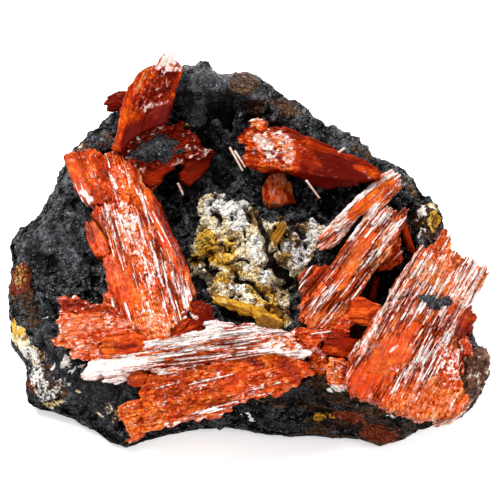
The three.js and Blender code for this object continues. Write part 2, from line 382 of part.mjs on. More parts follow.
// Pieces that keep their whole shape come first: each later piece is cut back
// from the ones before it.
const ORDER = [
  'crust_on_cross_prism', 'crust_on_great_blade', 'pale_shard', 'lumpy_crystal',
  'great_blade', 'upper_right_prism', 'right_bundle', 'long_prism', 'front_cluster',
  'cross_prism', 'tall_prism', 'middle_rough_block', 'twin_blade', 'gem_prism', 'left_knob', 'round_gem', 'dark_wedge', 'deep_red_block',
  'left_rough_block', 'left_gem', 'box_prism', 'red_dome', 'lower_block',
  'inner_block', 'side_shards', 'brown_knob', 'left_sliver', 'round_crystal', 'side_knob', 'hollow_crystal',
  'hollow_strip', 'rear_nub', 'top_speck', 'ochre_crystal', 'ochre_band',
];

// ------------------------------------------------------------------- helpers
const vec = (p) => new THREE.Vector3(p[0], p[1], p[2]);

// Repeatable scatter between -1 and 1.
const scatter = (...k) => {
  let s = 0;
  k.forEach((v, i) => { s += v * (12.9898 + 65.233 * i); });
  const f = Math.sin(s) * 43758.5453;
  return 2 * (f - Math.floor(f)) - 1;
};

const toSolid = (geometry) => {
  const g = geometry.clone();
  g.deleteAttribute('normal');
  g.deleteAttribute('uv');
  const m = mergeVertices(g, 1e-4);
  return new wasm.Manifold(new wasm.Mesh({
    numProp: 3,
    vertProperties: new Float32Array(m.attributes.position.array),
    triVerts: new Uint32Array(m.index.array),
  }));
};

// The largest body of a solid: shavings left over from the cuts are dropped.
const toGeometry = (solid) => {
  const m = solid.getMesh();
  const tv = m.triVerts;
  const at = (i) => [0, 1, 2].map((k) => m.vertProperties[m.numProp * i + k]);
  const root = Array.from({ length: m.numVert }, (_, i) => i);
  const find = (i) => { let k = i; while (root[k] !== k) { root[k] = root[root[k]]; k = root[k]; } return k; };
  for (let t = 0; t < tv.length; t += 3) {
    root[find(tv[t])] = find(tv[t + 1]);
    root[find(tv[t + 2])] = find(tv[t + 1]);
  }
  const volume = new Map();
  for (let t = 0; t < tv.length; t += 3) {
    const [a, b, c] = [vec(at(tv[t])), vec(at(tv[t + 1])), vec(at(tv[t + 2]))];
    const body = find(tv[t]);
    volume.set(body, (volume.get(body) || 0) + a.dot(b.cross(c)) / 6);
  }
  const keep = [...volume.entries()].sort((p, q) => q[1] - p[1])[0][0];
  const pos = [];
  const index = [];
  const renamed = new Map();
  for (let t = 0; t < tv.length; t += 1) {
    if (find(tv[t]) !== keep) continue;
    if (!renamed.has(tv[t])) { renamed.set(tv[t], pos.length / 3); pos.push(...at(tv[t])); }
    index.push(renamed.get(tv[t]));
  }
  const g = new THREE.BufferGeometry();
  g.setAttribute('position', new THREE.BufferAttribute(new Float32Array(pos), 3));
  g.setIndex(index);
  g.computeVertexNormals();
  return g;
};

const join = (solids) => solids.reduce((a, b) => a.add(b));

// ------------------------------------------------------------------- crystals
const lean = THREE.MathUtils.degToRad(LEAN);
const FRONT = new THREE.Vector3(0, -Math.sin(lean), Math.cos(lean));

const blade = ([a, b, width, thick, turn, slantA, slantB, section, taper], grow = 0) => {
  const A = vec(a);
  const B = vec(b);
  const along = B.clone().sub(A);
  const length = along.length();
  along.normalize();
  const face = FRONT.clone().addScaledVector(along, -FRONT.dot(along)).normalize();
  face.applyAxisAngle(along, THREE.MathUtils.degToRad(turn));
  const across = face.clone().cross(along);
  const outline = SECTIONS[section].map(([u, v]) => new THREE.Vector2(u, v));
  const g = new THREE.ExtrudeGeometry(new THREE.Shape(outline), { depth: 1, steps: 1, bevelEnabled: false });
  const p = g.attributes.position;
  const point = new THREE.Vector3();
  for (let i = 0; i < p.count; i += 1) {
    const u = p.getX(i);
    const v = p.getY(i);
    const far = p.getZ(i) > 0.5;
    const k = far ? taper : 1;
    const broken = 0.3 * scatter(u + 3 * v, a[0] + b[1], far ? 2 : 1);
    const slant = far ? slantB * u - 0.25 * Math.abs(v) : slantA * u + 0.25 * Math.abs(v);
    const ends = grow > 0 ? grow + END_GAP : 0;
    const s = (far ? length + ends : -ends) + slant + broken;
    point.copy(A).addScaledVector(along, s)
      .addScaledVector(across, u * (0.5 * width * k + grow))
      .addScaledVector(face, v * (0.5 * thick * k + grow));
    p.setXYZ(i, point.x, point.y, point.z);
  }
  return toSolid(g);
};

// A plate with a traced outline and a chamfered face. `rise` lifts its face.
const slab = ([corner, along, across, out, thick, rim], grow = 0, rise = 0) => {
  const n = rim.length;
  const area = THREE.ShapeUtils.area(rim.map(([s, t]) => new THREE.Vector2(s, t)));
  const round = area < 0 ? [...rim].reverse() : rim;
  const outward = round.map((q, i) => {
    const a = round[(i + n - 1) % n];
    const b = round[(i + 1) % n];
    const d1 = new THREE.Vector2(q[0] - a[0], q[1] - a[1]).normalize();
    const d2 = new THREE.Vector2(b[0] - q[0], b[1] - q[1]).normalize();
    const e = d1.clone().add(d2).normalize();
    return new THREE.Vector2(e.y, -e.x).divideScalar(Math.max(0.6, e.dot(d1)));
  });
  const outline = round.map((q) => new THREE.Vector2(q[0], q[1]));
  const g = new THREE.ExtrudeGeometry(new THREE.Shape(outline), { depth: 2, steps: 2, bevelEnabled: false });
  const p = g.attributes.position;
  const point = new THREE.Vector3();
  for (let i = 0; i < p.count; i += 1) {
    const k = outline.findIndex((q) => Math.abs(q.x - p.getX(i)) + Math.abs(q.y - p.getY(i)) < 1e-5);
    const level = Math.round(p.getZ(i));
    const worn = level === 2 && rise <= 0 ? CHAMFER : 0;
    const rough = grow > 0 || rise > 0 ? 0 : UNEVEN * scatter(outline[k].x, outline[k].y, level);
    const h = [-thick - grow, -CHAMFER, rise + grow][level] + rough * (level === 2 ? 1 : 0);
    const off = grow - worn + (level > 0 ? 0.4 * rough : 0);
    point.copy(vec(corner))
      .addScaledVector(vec(along), outline[k].x + off * outward[k].x)
      .addScaledVector(vec(across), outline[k].y + off * outward[k].y)
      .addScaledVector(vec(out), h);
    p.setXYZ(i, point.x, point.y, point.z);
  }
  return toSolid(g);
};

// Ridges keep inside the outline of the slab they stand on.
const crystal = (name, grow = 0) => {
  const blades = (CRYSTALS[name] || []).map((s) => blade(s, grow));
  if (!SLABS[name]) return join(blades);
  if (grow > 0) return join(SLABS[name].map((s) => slab(s, grow, blades.length ? RELIEF : 0)));
  const body = join(SLABS[name].map((s) => slab(s)));
  if (!blades.length) return body;
  const room = join(SLABS[name].map((s) => slab(s, 0, RELIEF)));
  return body.add(join(blades).intersect(room));
};

// A low knobbly crust on a crystal's broad face.
const crust = ({ rise, facing, rim }, grow = 0) => {
  const n = vec(facing).normalize();
  const e1 = new THREE.Vector3(1, 0, 0).addScaledVector(n, -n.x).normalize();
  const e2 = n.clone().cross(e1);
  const mid = new THREE.Vector3();
  rim.forEach((q) => mid.addScaledVector(vec(q), 1 / rim.length));
  const flat = rim.map((q) => {
    const d = vec(q).sub(mid);
    const v = new THREE.Vector2(d.dot(e1), d.dot(e2));
    return v.multiplyScalar(1 + grow / v.length());
  });
  if (THREE.ShapeUtils.area(flat) < 0) flat.reverse();
  const g = new THREE.ExtrudeGeometry(new THREE.Shape(flat), { depth: 1, steps: 2, bevelEnabled: false });
  const p = g.attributes.position;
  const point = new THREE.Vector3();
  for (let i = 0; i < p.count; i += 1) {
    const s = p.getZ(i);
    const k = s > 0.9 ? 0.72 : 1;
    const h = -grow + s * (rise + 2 * grow) * (1 + 0.12 * scatter(p.getX(i), p.getY(i)) * (s > 0.4 ? 1 : 0));
    point.copy(mid).addScaledVector(e1, p.getX(i) * k).addScaledVector(e2, p.getY(i) * k).addScaledVector(n, h);
    p.setXYZ(i, point.x, point.y, point.z);
  }
  return toSolid(g);
};

const make = (name, grow) => (CRUSTS[name] ? crust(CRUSTS[name], grow) : crystal(name, grow));

const grown = {};                // every piece enlarged by the gap, for cutting others
const pieces = {};
ORDER.forEach((name, i) => {
  grown[name] = make(name, GAP);
  let solid = make(name, 0);
  for (let k = 0; k < i; k += 1) solid = solid.subtract(grown[ORDER[k]]);
  pieces[name] = solid;
});

// --------------------------------------------------------------------- block
const polar = (points) => points.map((p) => {
  const x = p[0] - CENTRE[0];
  const y = p[1] - CENTRE[1];
  return [Math.atan2(y, x), Math.hypot(x, y), p[2]];
}).sort((a, b) => a[0] - b[0]);

const around = (table, angle) => {
  const n = table.length;
  let k = table.findIndex((q) => q[0] > angle);
  if (k < 0) k = 0;
  const q1 = table[k];
  const q0 = table[(k + n - 1) % n];
  const turn = 2 * Math.PI;
  const span = (q1[0] - q0[0] + turn) % turn;
  const f = ((angle - q0[0] + turn) % turn) / span;
  return [q0[1] + (q1[1] - q0[1]) * f, q0[2] + (q1[2] - q0[2]) * f];
};

const outlineTable = polar(OUTLINE);
const shoulderTable = polar(SHOULDER);
const surface = [...TOP, ...SHOULDER];

// Height of the top of the block, drawn smoothly through the table of heights.
const topHeight = (x, y) => {
  let sum = 0;
  let weight = 0;
  surface.forEach(([px, py, pz]) => {
    const w = 1 / ((x - px) ** 2 + (y - py) ** 2 + 0.6) ** 1.9;
    sum += w * pz;
    weight += w;
  });
  return sum / weight;
};

const knobs = (x, y, z) => LUMP * (
  Math.sin(1.9 * x + 1.1 * y + 0.7 * z) * Math.sin(1.3 * y - 0.9 * x + 1.7 * z)
  + 0.8 * Math.sin(2.7 * x - 1.6 * y + 2.1) * Math.sin(2.3 * y + 1.9 * x - 1.2 * z));

const block = () => {
  const verts = [];
  const rings = [];
  const ring = (count, place) => {
    const ids = [];
    for (let i = 0; i < count; i += 1) {
      const angle = -Math.PI + (2 * Math.PI * (i + 0.5)) / count;
      const [r, z, lump] = place(angle);
      const x = CENTRE[0] + r * Math.cos(angle);
      const y = CENTRE[1] + r * Math.sin(angle);
      const d = lump * knobs(x, y, z);
      ids.push([verts.length / 3, angle]);
      verts.push(x + d * 0.6 * Math.cos(angle), y + d * 0.6 * Math.sin(angle), z + (z > 0 ? d : 0));
    }
    rings.push(ids);
  };
  const inset = (zw) => BASE_INSET_MIN + BASE_INSET * zw;
  ring(AROUND, (a) => { const [r, z] = around(outlineTable, a); return [r - inset(z), 0, 0]; });
  ring(AROUND, (a) => { const [r, z] = around(outlineTable, a); return [r - 0.45 * inset(z) * (z > 4 ? 1 : 0.6), 0.45 * z, 0.5]; });
  ring(AROUND, (a) => { const [r, z] = around(outlineTable, a); return [r - 0.1, z, 0.4]; });
  ring(AROUND, (a) => {
    const [r0, z0] = around(outlineTable, a);
    const [r1, z1] = around(shoulderTable, a);
    return [0.38 * r0 + 0.62 * r1 + 0.35, 0.45 * z0 + 0.55 * z1, 1];
  });
  RINGS.forEach((f, i) => {
    const count = f > 0.5 ? AROUND : (f > 0.25 ? AROUND / 2 : (f > 0.12 ? AROUND / 4 : AROUND / 8));
    ring(count, (a) => {
      const [r1, z1] = around(shoulderTable, a);
      const r = r1 * f;
      const x = CENTRE[0] + r * Math.cos(a);
      const y = CENTRE[1] + r * Math.sin(a);
      return [r, i === 0 ? z1 : topHeight(x, y), i === 0 ? 0.8 : 1];
    });
  });
  const tris = [];
  // Band between two rings, whatever their counts, walked round by angle.
  const band = (lower, upper) => {
    let i = 0;
    let j = 0;
    const n = lower.length;
    const m = upper.length;
    while (i < n || j < m) {
      const nextI = i < n ? lower[i % n][1] + (i + 1 >= n ? 2 * Math.PI : 0) : Infinity;
      const a1 = i < n ? (i + 1 < n ? lower[i + 1][1] : lower[0][1] + 2 * Math.PI) : Infinity;
      const b1 = j < m ? (j + 1 < m ? upper[j + 1][1] : upper[0][1] + 2 * Math.PI) : Infinity;
      if (a1 <= b1 && nextI < Infinity) {
        tris.push(lower[i % n][0], lower[(i + 1) % n][0], upper[j % m][0]);
        i += 1;
      } else {
        tris.push(lower[i % n][0], upper[(j + 1) % m][0], upper[j % m][0]);
        j += 1;
      }
    }
  };
  for (let k = 0; k + 1 < rings.length; k += 1) band(rings[k], rings[k + 1]);
  const last = rings[rings.length - 1];
  const top = verts.length / 3;
  verts.push(CENTRE[0], CENTRE[1], topHeight(CENTRE[0], CENTRE[1]));
  last.forEach(([id], i) => tris.push(id, last[(i + 1) % last.length][0], top));
  // Flat base.
  const base = rings[0];
  const contour = base.map(([id]) => new THREE.Vector2(verts[3 * id], verts[3 * id + 1]));
  THREE.ShapeUtils.triangulateShape(contour, []).forEach(([a, b, c]) => {
    tris.push(base[a][0], base[c][0], base[b][0]);
  });
  const g = new THREE.BufferGeometry();
  g.setAttribute('position', new THREE.BufferAttribute(new Float32Array(verts), 3));
  g.setIndex(tris);
  return toSolid(g);
};

let matrix = block();
ORDER.forEach((name) => { matrix = matrix.subtract(grown[name]); });

// ------------------------------------------------------------------ materials
const finish = (color, roughness) => new THREE.MeshStandardMaterial({ color, roughness, metalness: 0 });
const ROCK = finish(0x26241f, 0.85);
const CRUST = finish(0x161616, 0.6);
const ORANGE = finish(0xc8401c, 0.35);
const DEEP = finish(0x8a1a0c, 0.2);
const PALE = finish(0xd9a08a, 0.4);
const OCHRE = finish(0xb5862c, 0.6);
const BROWN = finish(0x5a4334, 0.7);
const DEEP_NAMES = new Set(['gem_prism', 'tall_prism', 'cross_prism', 'round_gem', 'dark_wedge', 'deep_red_block', 'red_dome', 'rear_nub', 'hollow_crystal', 'hollow_strip']);

// The origin is under the middle of the specimen's box, on its base.
const group = new THREE.Group();
group.position.set(SHIFT[0], SHIFT[1], 0);
const place = (name, solid, material) => {
  const mesh = new THREE.Mesh(toGeometry(solid), material);
  mesh.name = name;
  group.add(mesh);
};

place('matrix', matrix, ROCK);
ORDER.forEach((name) => {
  let material = ORANGE;
  if (CRUSTS[name]) material = CRUST;
  else if (DEEP_NAMES.has(name)) material = DEEP;
  else if (name.startsWith('ochre')) material = OCHRE;
  else if (name === 'brown_knob') material = BROWN;
  else if (name === 'pale_shard') material = PALE;
  place(name, pieces[name], material);
});

Object.entries(NEEDLES).forEach(([name, [a, b, radius]]) => {
  const A = vec(a);
  const B = vec(b);
  const along = B.clone().sub(A);
  const mesh = new THREE.Mesh(new THREE.CylinderGeometry(radius, radius, along.length(), NEEDLE_SIDES), PALE);
  mesh.name = name;
  mesh.position.copy(A).add(B).multiplyScalar(0.5);
  mesh.quaternion.setFromUnitVectors(new THREE.Vector3(0, 1, 0), along.normalize());
  group.add(mesh);
});

export default group;
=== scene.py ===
import math
import bpy
import numpy as np
from mathutils import Matrix, Vector


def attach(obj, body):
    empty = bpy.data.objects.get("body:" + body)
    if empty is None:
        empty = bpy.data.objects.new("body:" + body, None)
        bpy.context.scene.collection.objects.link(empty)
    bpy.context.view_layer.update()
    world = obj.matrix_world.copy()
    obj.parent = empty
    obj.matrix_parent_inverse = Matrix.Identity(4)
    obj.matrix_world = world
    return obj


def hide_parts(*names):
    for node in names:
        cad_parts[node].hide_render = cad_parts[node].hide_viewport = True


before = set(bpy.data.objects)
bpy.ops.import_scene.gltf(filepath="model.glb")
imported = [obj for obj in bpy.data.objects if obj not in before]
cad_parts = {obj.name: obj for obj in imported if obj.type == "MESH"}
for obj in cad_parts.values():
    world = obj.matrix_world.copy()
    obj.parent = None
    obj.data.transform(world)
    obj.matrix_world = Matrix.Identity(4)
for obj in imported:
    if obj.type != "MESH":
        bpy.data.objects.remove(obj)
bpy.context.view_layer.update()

SHIFT = np.array([0.45, 1.38, 0.0])

# ------------------------------------------------------------------ the tables
# Widest outline of the block, its shoulder, and heights of its top, in mm.
OUTLINE = np.array([
  [-31.8, -1.2, 5.5], [-31.5, 3.1, 6], [-30.2, 5.8, 6.5], [-28.4, 7.2, 7],
  [-26.7, 9.6, 7.5], [-25.2, 11.8, 8.5], [-24.2, 14.3, 9], [-23.2, 16.1, 10],
  [-21.6, 17.8, 10.5], [-19.4, 19.8, 11], [-17.5, 20.9, 12], [-16.1, 23.1, 13],
  [-13.8, 24.2, 14], [-11.2, 24.2, 15.5], [-8.9, 23.8, 17], [-6.6, 24.3, 18.5],
  [-4.2, 22.9, 18.5], [-1.7, 22.4, 18], [0.3, 22.9, 17.5], [2.2, 21.8, 17],
  [4.6, 19.5, 16.5], [6.9, 18.9, 16], [9.4, 16.4, 15.5], [12.4, 15.1, 15],
  [14, 13.5, 14.5], [15.9, 12, 14], [18.5, 11.4, 13.5], [21.1, 9.3, 13],
  [23.2, 7.4, 12], [25.1, 6.7, 11], [25.6, 4.8, 10], [26.1, 2.1, 9],
  [27.1, -0.7, 8], [28.1, -4.3, 7], [28.6, -8.2, 6], [29.3, -11.6, 5.5],
  [30.9, -13.5, 5.5], [30.8, -16.2, 5], [29.5, -18.3, 4], [27.4, -20.1, 3],
  [24.6, -20.8, 2], [22, -21.5, 1.4], [19.6, -23.1, 1.2], [17, -24, 1],
  [14.5, -22.8, 1.2], [12.3, -22.7, 1.2], [8.4, -22.4, 1.2], [3.9, -22.2, 1.2],
  [0.3, -21.9, 1.2], [-2.8, -21.1, 1.2], [-6.5, -21.4, 1.2], [-10.3, -22.2, 1.2],
  [-13.6, -23.1, 1.2], [-15.9, -24.1, 1.2], [-18.3, -23.5, 1.3], [-20.4, -21.8, 1.5],
  [-23, -20.2, 1.8], [-25.9, -19.1, 2], [-28.4, -18.2, 2.2], [-28.9, -16.3, 3],
  [-29.3, -13.6, 3.5], [-30.9, -10.9, 4], [-31.5, -8.8, 4.5], [-31.4, -5.4, 5],
])
SHOULDER = np.array([
  [-29.4, -3.6, 8.5], [-29, -0.3, 9], [-27.9, 2.4, 9.5], [-26.3, 3.9, 10],
  [-24.8, 6.2, 10.5], [-23.4, 8.5, 11], [-22.4, 10.8, 11.5], [-21.2, 13.1, 12],
  [-19.8, 14.8, 12.5], [-17.8, 16, 13.5], [-16, 17.4, 14.5], [-14.1, 19.1, 15.5],
  [-12.3, 19.8, 16.5], [-10.4, 19.8, 18], [-8.6, 19.5, 19.5], [-6.6, 19.6, 20.5],
  [-4.2, 18.9, 20.5], [-1.8, 18.5, 19.8], [0, 18.6, 19.2], [1.8, 18.1, 18.5],
  [4, 16.4, 18], [6.3, 15.5, 17.5], [8.5, 13.8, 16.6], [10.9, 12.4, 15.6],
  [12.5, 11.1, 15.2], [14.6, 9.6, 14.7], [17.2, 9, 14.2], [19.5, 7.2, 13.7],
  [21.5, 5.4, 12.8], [23, 4.3, 12.2], [23.5, 2.6, 11.3], [24.2, -0, 10.6],
  [25, -3, 10], [25.9, -6.5, 9.6], [26.5, -9.9, 9], [27.1, -12.9, 8.6],
  [28.1, -15.3, 8.2], [27.6, -17.4, 7.8], [26.6, -19.6, 7.4], [25.2, -20.9, 7.2],
  [23, -22.2, 8.2], [20.7, -22.7, 9.5], [18.6, -22.9, 10.6], [16.3, -22.3, 11.2],
  [13.8, -21.7, 11.6], [11.9, -20.8, 11.8], [8.4, -19.7, 12], [4.6, -21.5, 11.2],
  [0.8, -21.1, 9.8], [-2.6, -20.6, 5.6], [-6.2, -21.2, 3.6], [-10.1, -22.1, 2.8],
  [-13.1, -22.7, 3], [-15.5, -22.8, 3.6], [-17.6, -22.3, 3.8], [-19.3, -21.1, 4.2],
  [-21.9, -19.5, 4.8], [-24.2, -18.4, 5.2], [-26.3, -17.4, 5.6], [-27, -15.8, 6.2],
  [-27.4, -13.9, 6.9], [-28.7, -11.9, 7.3], [-29.1, -9.6, 7.8], [-29.4, -6.7, 8.2],
])
TOP = np.array([
  [-24.7, 0.9, 11], [-22, -3.9, 11.6], [-24.6, -6.3, 10.5], [-20.8, 3.9, 11],
  [-26.6, -2.8, 9.6], [-25.8, -11.3, 9], [-23.2, -19.6, 5.4], [-15.6, 2.7, 10.6],
  [-12.9, -4.8, 10.6], [-16.8, -8, 11], [-9.8, 5.6, 8.2], [-11.2, 10, 8.4],
  [-7.6, -2.4, 7.6], [-8.9, 8.5, 8.4], [-8.7, 1.8, 8.2], [-5.9, 14, 9.4],
  [-3.3, 10.6, 10], [-2.6, 15.8, 9], [-1.3, 8.5, 11], [6.9, 7.2, 10.6],
  [10.4, 6.6, 11.6], [-6.5, 16.5, 20.4], [-7.8, 18.8, 20.6], [-4.7, 15, 18.4],
  [-8.5, 16.1, 18.6], [-9.2, 16.1, 15], [-1.3, 15.7, 19.2], [1.3, 16.1, 18],
  [-2.9, 15.5, 16], [0, 15.8, 14], [-5.5, 16.4, 11], [-3.7, 16.5, 11.2],
  [3.9, 13.4, 13], [10.5, 11.4, 12.4], [6.5, 14.9, 16], [11.8, 12.8, 14],
  [-12.8, 18.6, 16], [-16.4, 14.7, 12.8], [-5.2, 4.9, 12], [-1.3, 4.5, 12.6],
  [-4.5, -0.2, 13], [0, -0.3, 13.1], [8, -1.2, 12], [-2.6, -4.1, 13.2],
  [1.3, -4.5, 12.6], [4.7, -5.1, 9.8], [-6.5, -3.4, 12], [-7.1, -5.1, 9],
  [-2.3, -8.5, 11.8], [1.5, -10.1, 11.6], [-1.3, -6.5, 12.2], [-12.8, -20.3, 6.6],
  [-6.4, -19.7, 7.6], [0, -18.3, 9.6], [3.8, -19.8, 11], [-3.9, -20.7, 6],
  [7.7, -6.5, 11], [11.7, -2.3, 11.4], [13.3, 3.3, 12], [16.9, 4.4, 12],
  [18.5, 6.9, 13.2], [17.6, -3.2, 7.2], [16.4, -4.7, 7.2], [19.3, 0.5, 8.6],
  [21.1, 3.6, 11], [13.1, -13.5, 9], [22, -7.5, 10], [24.6, -2.9, 9.8],
  [10.3, -12.4, 11], [-19.3, -14.8, 10], [-20.6, -11.1, 11.2], [-15.2, 14.1, 13.2],
  [-14.1, 15.7, 15.1], [-16.7, 11.2, 11.3], [-12.7, 12.7, 12], [-8.8, 14.2, 12.8],
  [-8.7, 10.8, 10.5], [-7.1, 11.7, 10.9], [-5.5, 12.6, 11.3], [-19.7, 6.6, 10.6],
  [-20.8, 8.7, 11.2], [-16.8, 4.6, 10.7], [-15, -1.2, 10.5], [-13.3, -7, 10.3],
  [-13.2, 5.9, 12.2], [-10.9, -0.3, 12], [-8.7, -6.6, 11.8], [-16.1, 6.8, 11.3],
  [-16.9, 9.3, 11.6], [-17.7, 11.9, 11.9], [-20.4, 2.5, 11.1], [-19.7, 0.6, 11.1],
  [-19, -1.4, 11.1], [-23.5, -12.3, 10.9], [-19.4, -12.2, 10.9], [-15.4, -12.1, 10.9],
  [-17.6, -14.9, 10.9], [-15.9, -14.6, 11.1], [-14.1, -14.3, 11.3], [-12.9, -12, 10.8],
  [-11.3, -12.1, 10.8], [-9.7, -12.2, 10.8], [-10.1, -12.3, 11.5], [-7.9, -12.2, 11.4],
  [-5.7, -12, 11.3], [-17.2, -18.3, 10.5], [-6.8, -17.1, 11.1], [3.6, -15.9, 11.7],
  [-12.5, -15.9, 11.6], [-9.1, -15.2, 11.7], [-5.7, -14.5, 11.9], [-17.8, -19.4, 10.3],
  [-14.2, -19, 10.6], [-10.6, -18.6, 10.8], [-20.9, -17.6, 10.9], [-18.4, -17.6, 11.1],
  [-15.9, -17.5, 11.3], [-2.5, -15.3, 12.1], [0.8, -15.1, 12.3], [4.2, -14.9, 12.5],
  [-15.5, -19.2, 9.5], [-14.5, -19, 9.5], [-13.5, -18.8, 9.5], [-14.7, -22.1, 7],
  [-7.7, -20.9, 7.8], [-0.7, -19.6, 8.5], [-5.2, -20.5, 8], [0.4, -19.6, 8.7],
  [5.9, -18.7, 9.4], [-15, -22, 5.6], [-0.5, 12.1, 13.5], [2.7, 11.7, 13.8],
  [5.9, 11.3, 14.1], [5.6, 10.9, 14.2], [9.2, 10.1, 14.4], [12.9, 9.2, 14.6],
  [12.3, 9.8, 15.7], [14.1, 9.2, 15.8], [16, 8.7, 15.9], [11.8, 7.9, 14.7],
  [13.6, 7.7, 14.7], [15.5, 7.5, 14.7], [2.5, 8.4, 10.4], [4, 8.6, 10.6],
  [5.6, 8.8, 10.8], [10.2, -1.3, 12.4], [13, 1.4, 13.4], [8.9, -10.3, 11.4],
  [11.7, -6.4, 12.3], [12.7, -11.2, 10.7], [14.6, -10.6, 10.6], [16.5, -10, 10.5],
  [10.2, -16.1, 11], [11.8, -15.6, 10.9], [13.3, -15.1, 10.8], [10.2, -17.8, 10.8],
  [11.3, -19, 10.8], [12.4, -20.1, 10.8], [5.8, -14.8, 10.8], [7.5, -14.5, 11],
  [9.2, -14.3, 11.2], [16.7, -19.2, 10.7], [20.5, -13.3, 11.1], [14.7, -17.6, 10.8],
  [17.6, -12.2, 11.2], [23.1, -14.6, 10.6], [25.5, -10.9, 10.8], [21.7, -19.5, 10.2],
  [23.2, -17.8, 10], [27.3, -16.2, 8.6], [3.2, -0.8, 13.5], [3.7, 0.1, 13.7],
  [4.3, 0.9, 13.9], [-3.7, -9.4, 11.9], [-0.5, -10.8, 11.7], [2.8, -12.3, 11.5],
])
CENTRE = np.array([-0.5, -1.5])

# The crystals, and for the plain prisms among them: end, end, width, thickness,
# turn, slants of the ends, section, taper.
PRISMS = {
    "tall_prism": [],
    "rear_nub": [],
    "cross_prism": [],
    "dark_wedge": [],
    "left_knob": [],
    "twin_blade": [],
    "left_sliver": [],
    "left_rough_block": [],
    "left_gem": [],
    "middle_rough_block": [],
    "deep_red_block": [],
    "long_prism": [],
    "round_crystal": [],
    "front_cluster": [],
    "gem_prism": [],
    "round_gem": [],
    "top_speck": [],
    "upper_right_prism": [],
    "right_bundle": [],
    "side_knob": [],
    "hollow_crystal": [
        ((19.79, 3.63, 11.0), (21.04, -0.53, 10.4), 1.04, 1.8, 0, 0.2, 0.3, 1, 0.8),
    ],
    "hollow_strip": [
        ((15.66, -7.19, 9.0), (16.47, -3.66, 9.6), 1.04, 1.8, 0, 0.3, 0.3, 1, 0.8),
    ],
    "box_prism": [],
    "red_dome": [],
    "lower_block": [],
    "inner_block": [],
    "great_blade": [],
    "side_shards": [],
    "lumpy_crystal": [],
    "brown_knob": [],
    "pale_shard": [],
    "ochre_crystal": [
        ((2.97, -1.12, 14.0), (4.53, 1.23, 14.6), 1.17, 2.2, 0, 0.3, 0.3, 0, 0.9),
    ],
    "ochre_band": [],
}

SECTIONS = [
    [(-1, -0.3), (-0.8, -1), (0.8, -1), (1, -0.2), (0.82, 0.8), (0.42, 0.7), (0.1, 1), (-0.34, 0.76), (-0.78, 0.86)],
    [(-1, -0.2), (-0.6, -1), (0.65, -1), (1, -0.1), (0.6, 0.85), (-0.35, 1)],
    [(-1, -0.35), (-0.7, -1), (0.7, -1), (1, -0.4), (0.94, 0.45), (0.3, 1), (-0.55, 0.86)],
]
FRONT = np.array([0.0, -0.5, 0.8660254])
SIN, COS = 0.8660254, 0.5


# ----------------------------------------------------------------- noise, in mm
def hash3(ix, iy, iz, k=0):
    h = (ix.astype(np.int64) * 73856093) ^ (iy.astype(np.int64) * 19349663) ^ (iz.astype(np.int64) * 83492791) ^ np.int64(k * 2654435 + 97)
    h = (h ^ (h >> 13)) * np.int64(1274126177)
    h = h & np.int64(0x7FFFFFFF)
    h = (h ^ (h >> 15)) & np.int64(0xFFFFFF)
    return h.astype(np.float64) / float(0xFFFFFF)


def value_noise(p, k=0):
    i = np.floor(p)
    f = p - i
    f = f * f * (3 - 2 * f)
    i = i.astype(np.int64)
    out = 0.0
    for dx in (0, 1):
        wx = f[:, 0] if dx else 1 - f[:, 0]
        for dy in (0, 1):
            wy = f[:, 1] if dy else 1 - f[:, 1]
            for dz in (0, 1):
                wz = f[:, 2] if dz else 1 - f[:, 2]
                out = out + wx * wy * wz * hash3(i[:, 0] + dx, i[:, 1] + dy, i[:, 2] + dz, k)
    return 2 * out - 1


def fractal(p, octaves=4, k=0, gain=0.5):
    out, a, s = 0.0, 1.0, 1.0
    for o in range(octaves):
        out = out + a * value_noise(p * s + 17.3 * o, k + o)
        a *= gain
        s *= 2.03
    return out


def cells(p, k=0):
    """Distance to the nearest scattered point, that point's own random value, and distance to the second."""
    i = np.floor(p).astype(np.int64)
    best = np.full(len(p), 9.0)
    second = np.full(len(p), 9.0)
    val = np.zeros(len(p))
    for dx in (-1, 0, 1):
        for dy in (-1, 0, 1):
            for dz in (-1, 0, 1):
                jx, jy, jz = i[:, 0] + dx, i[:, 1] + dy, i[:, 2] + dz
                qx = jx + hash3(jx, jy, jz, k + 1)
                qy = jy + hash3(jx, jy, jz, k + 2)
                qz = jz + hash3(jx, jy, jz, k + 3)
                d = np.sqrt((p[:, 0] - qx) ** 2 + (p[:, 1] - qy) ** 2 + (p[:, 2] - qz) ** 2)
                near = d < best
                second = np.where(near, best, np.minimum(second, d))
                val = np.where(near, hash3(jx, jy, jz, k + 4), val)
                best = np.where(near, d, best)
    return best, val, second


def smooth(x, a, b):
    t = np.clip((x - a) / (b - a), 0, 1)
    return t * t * (3 - 2 * t)


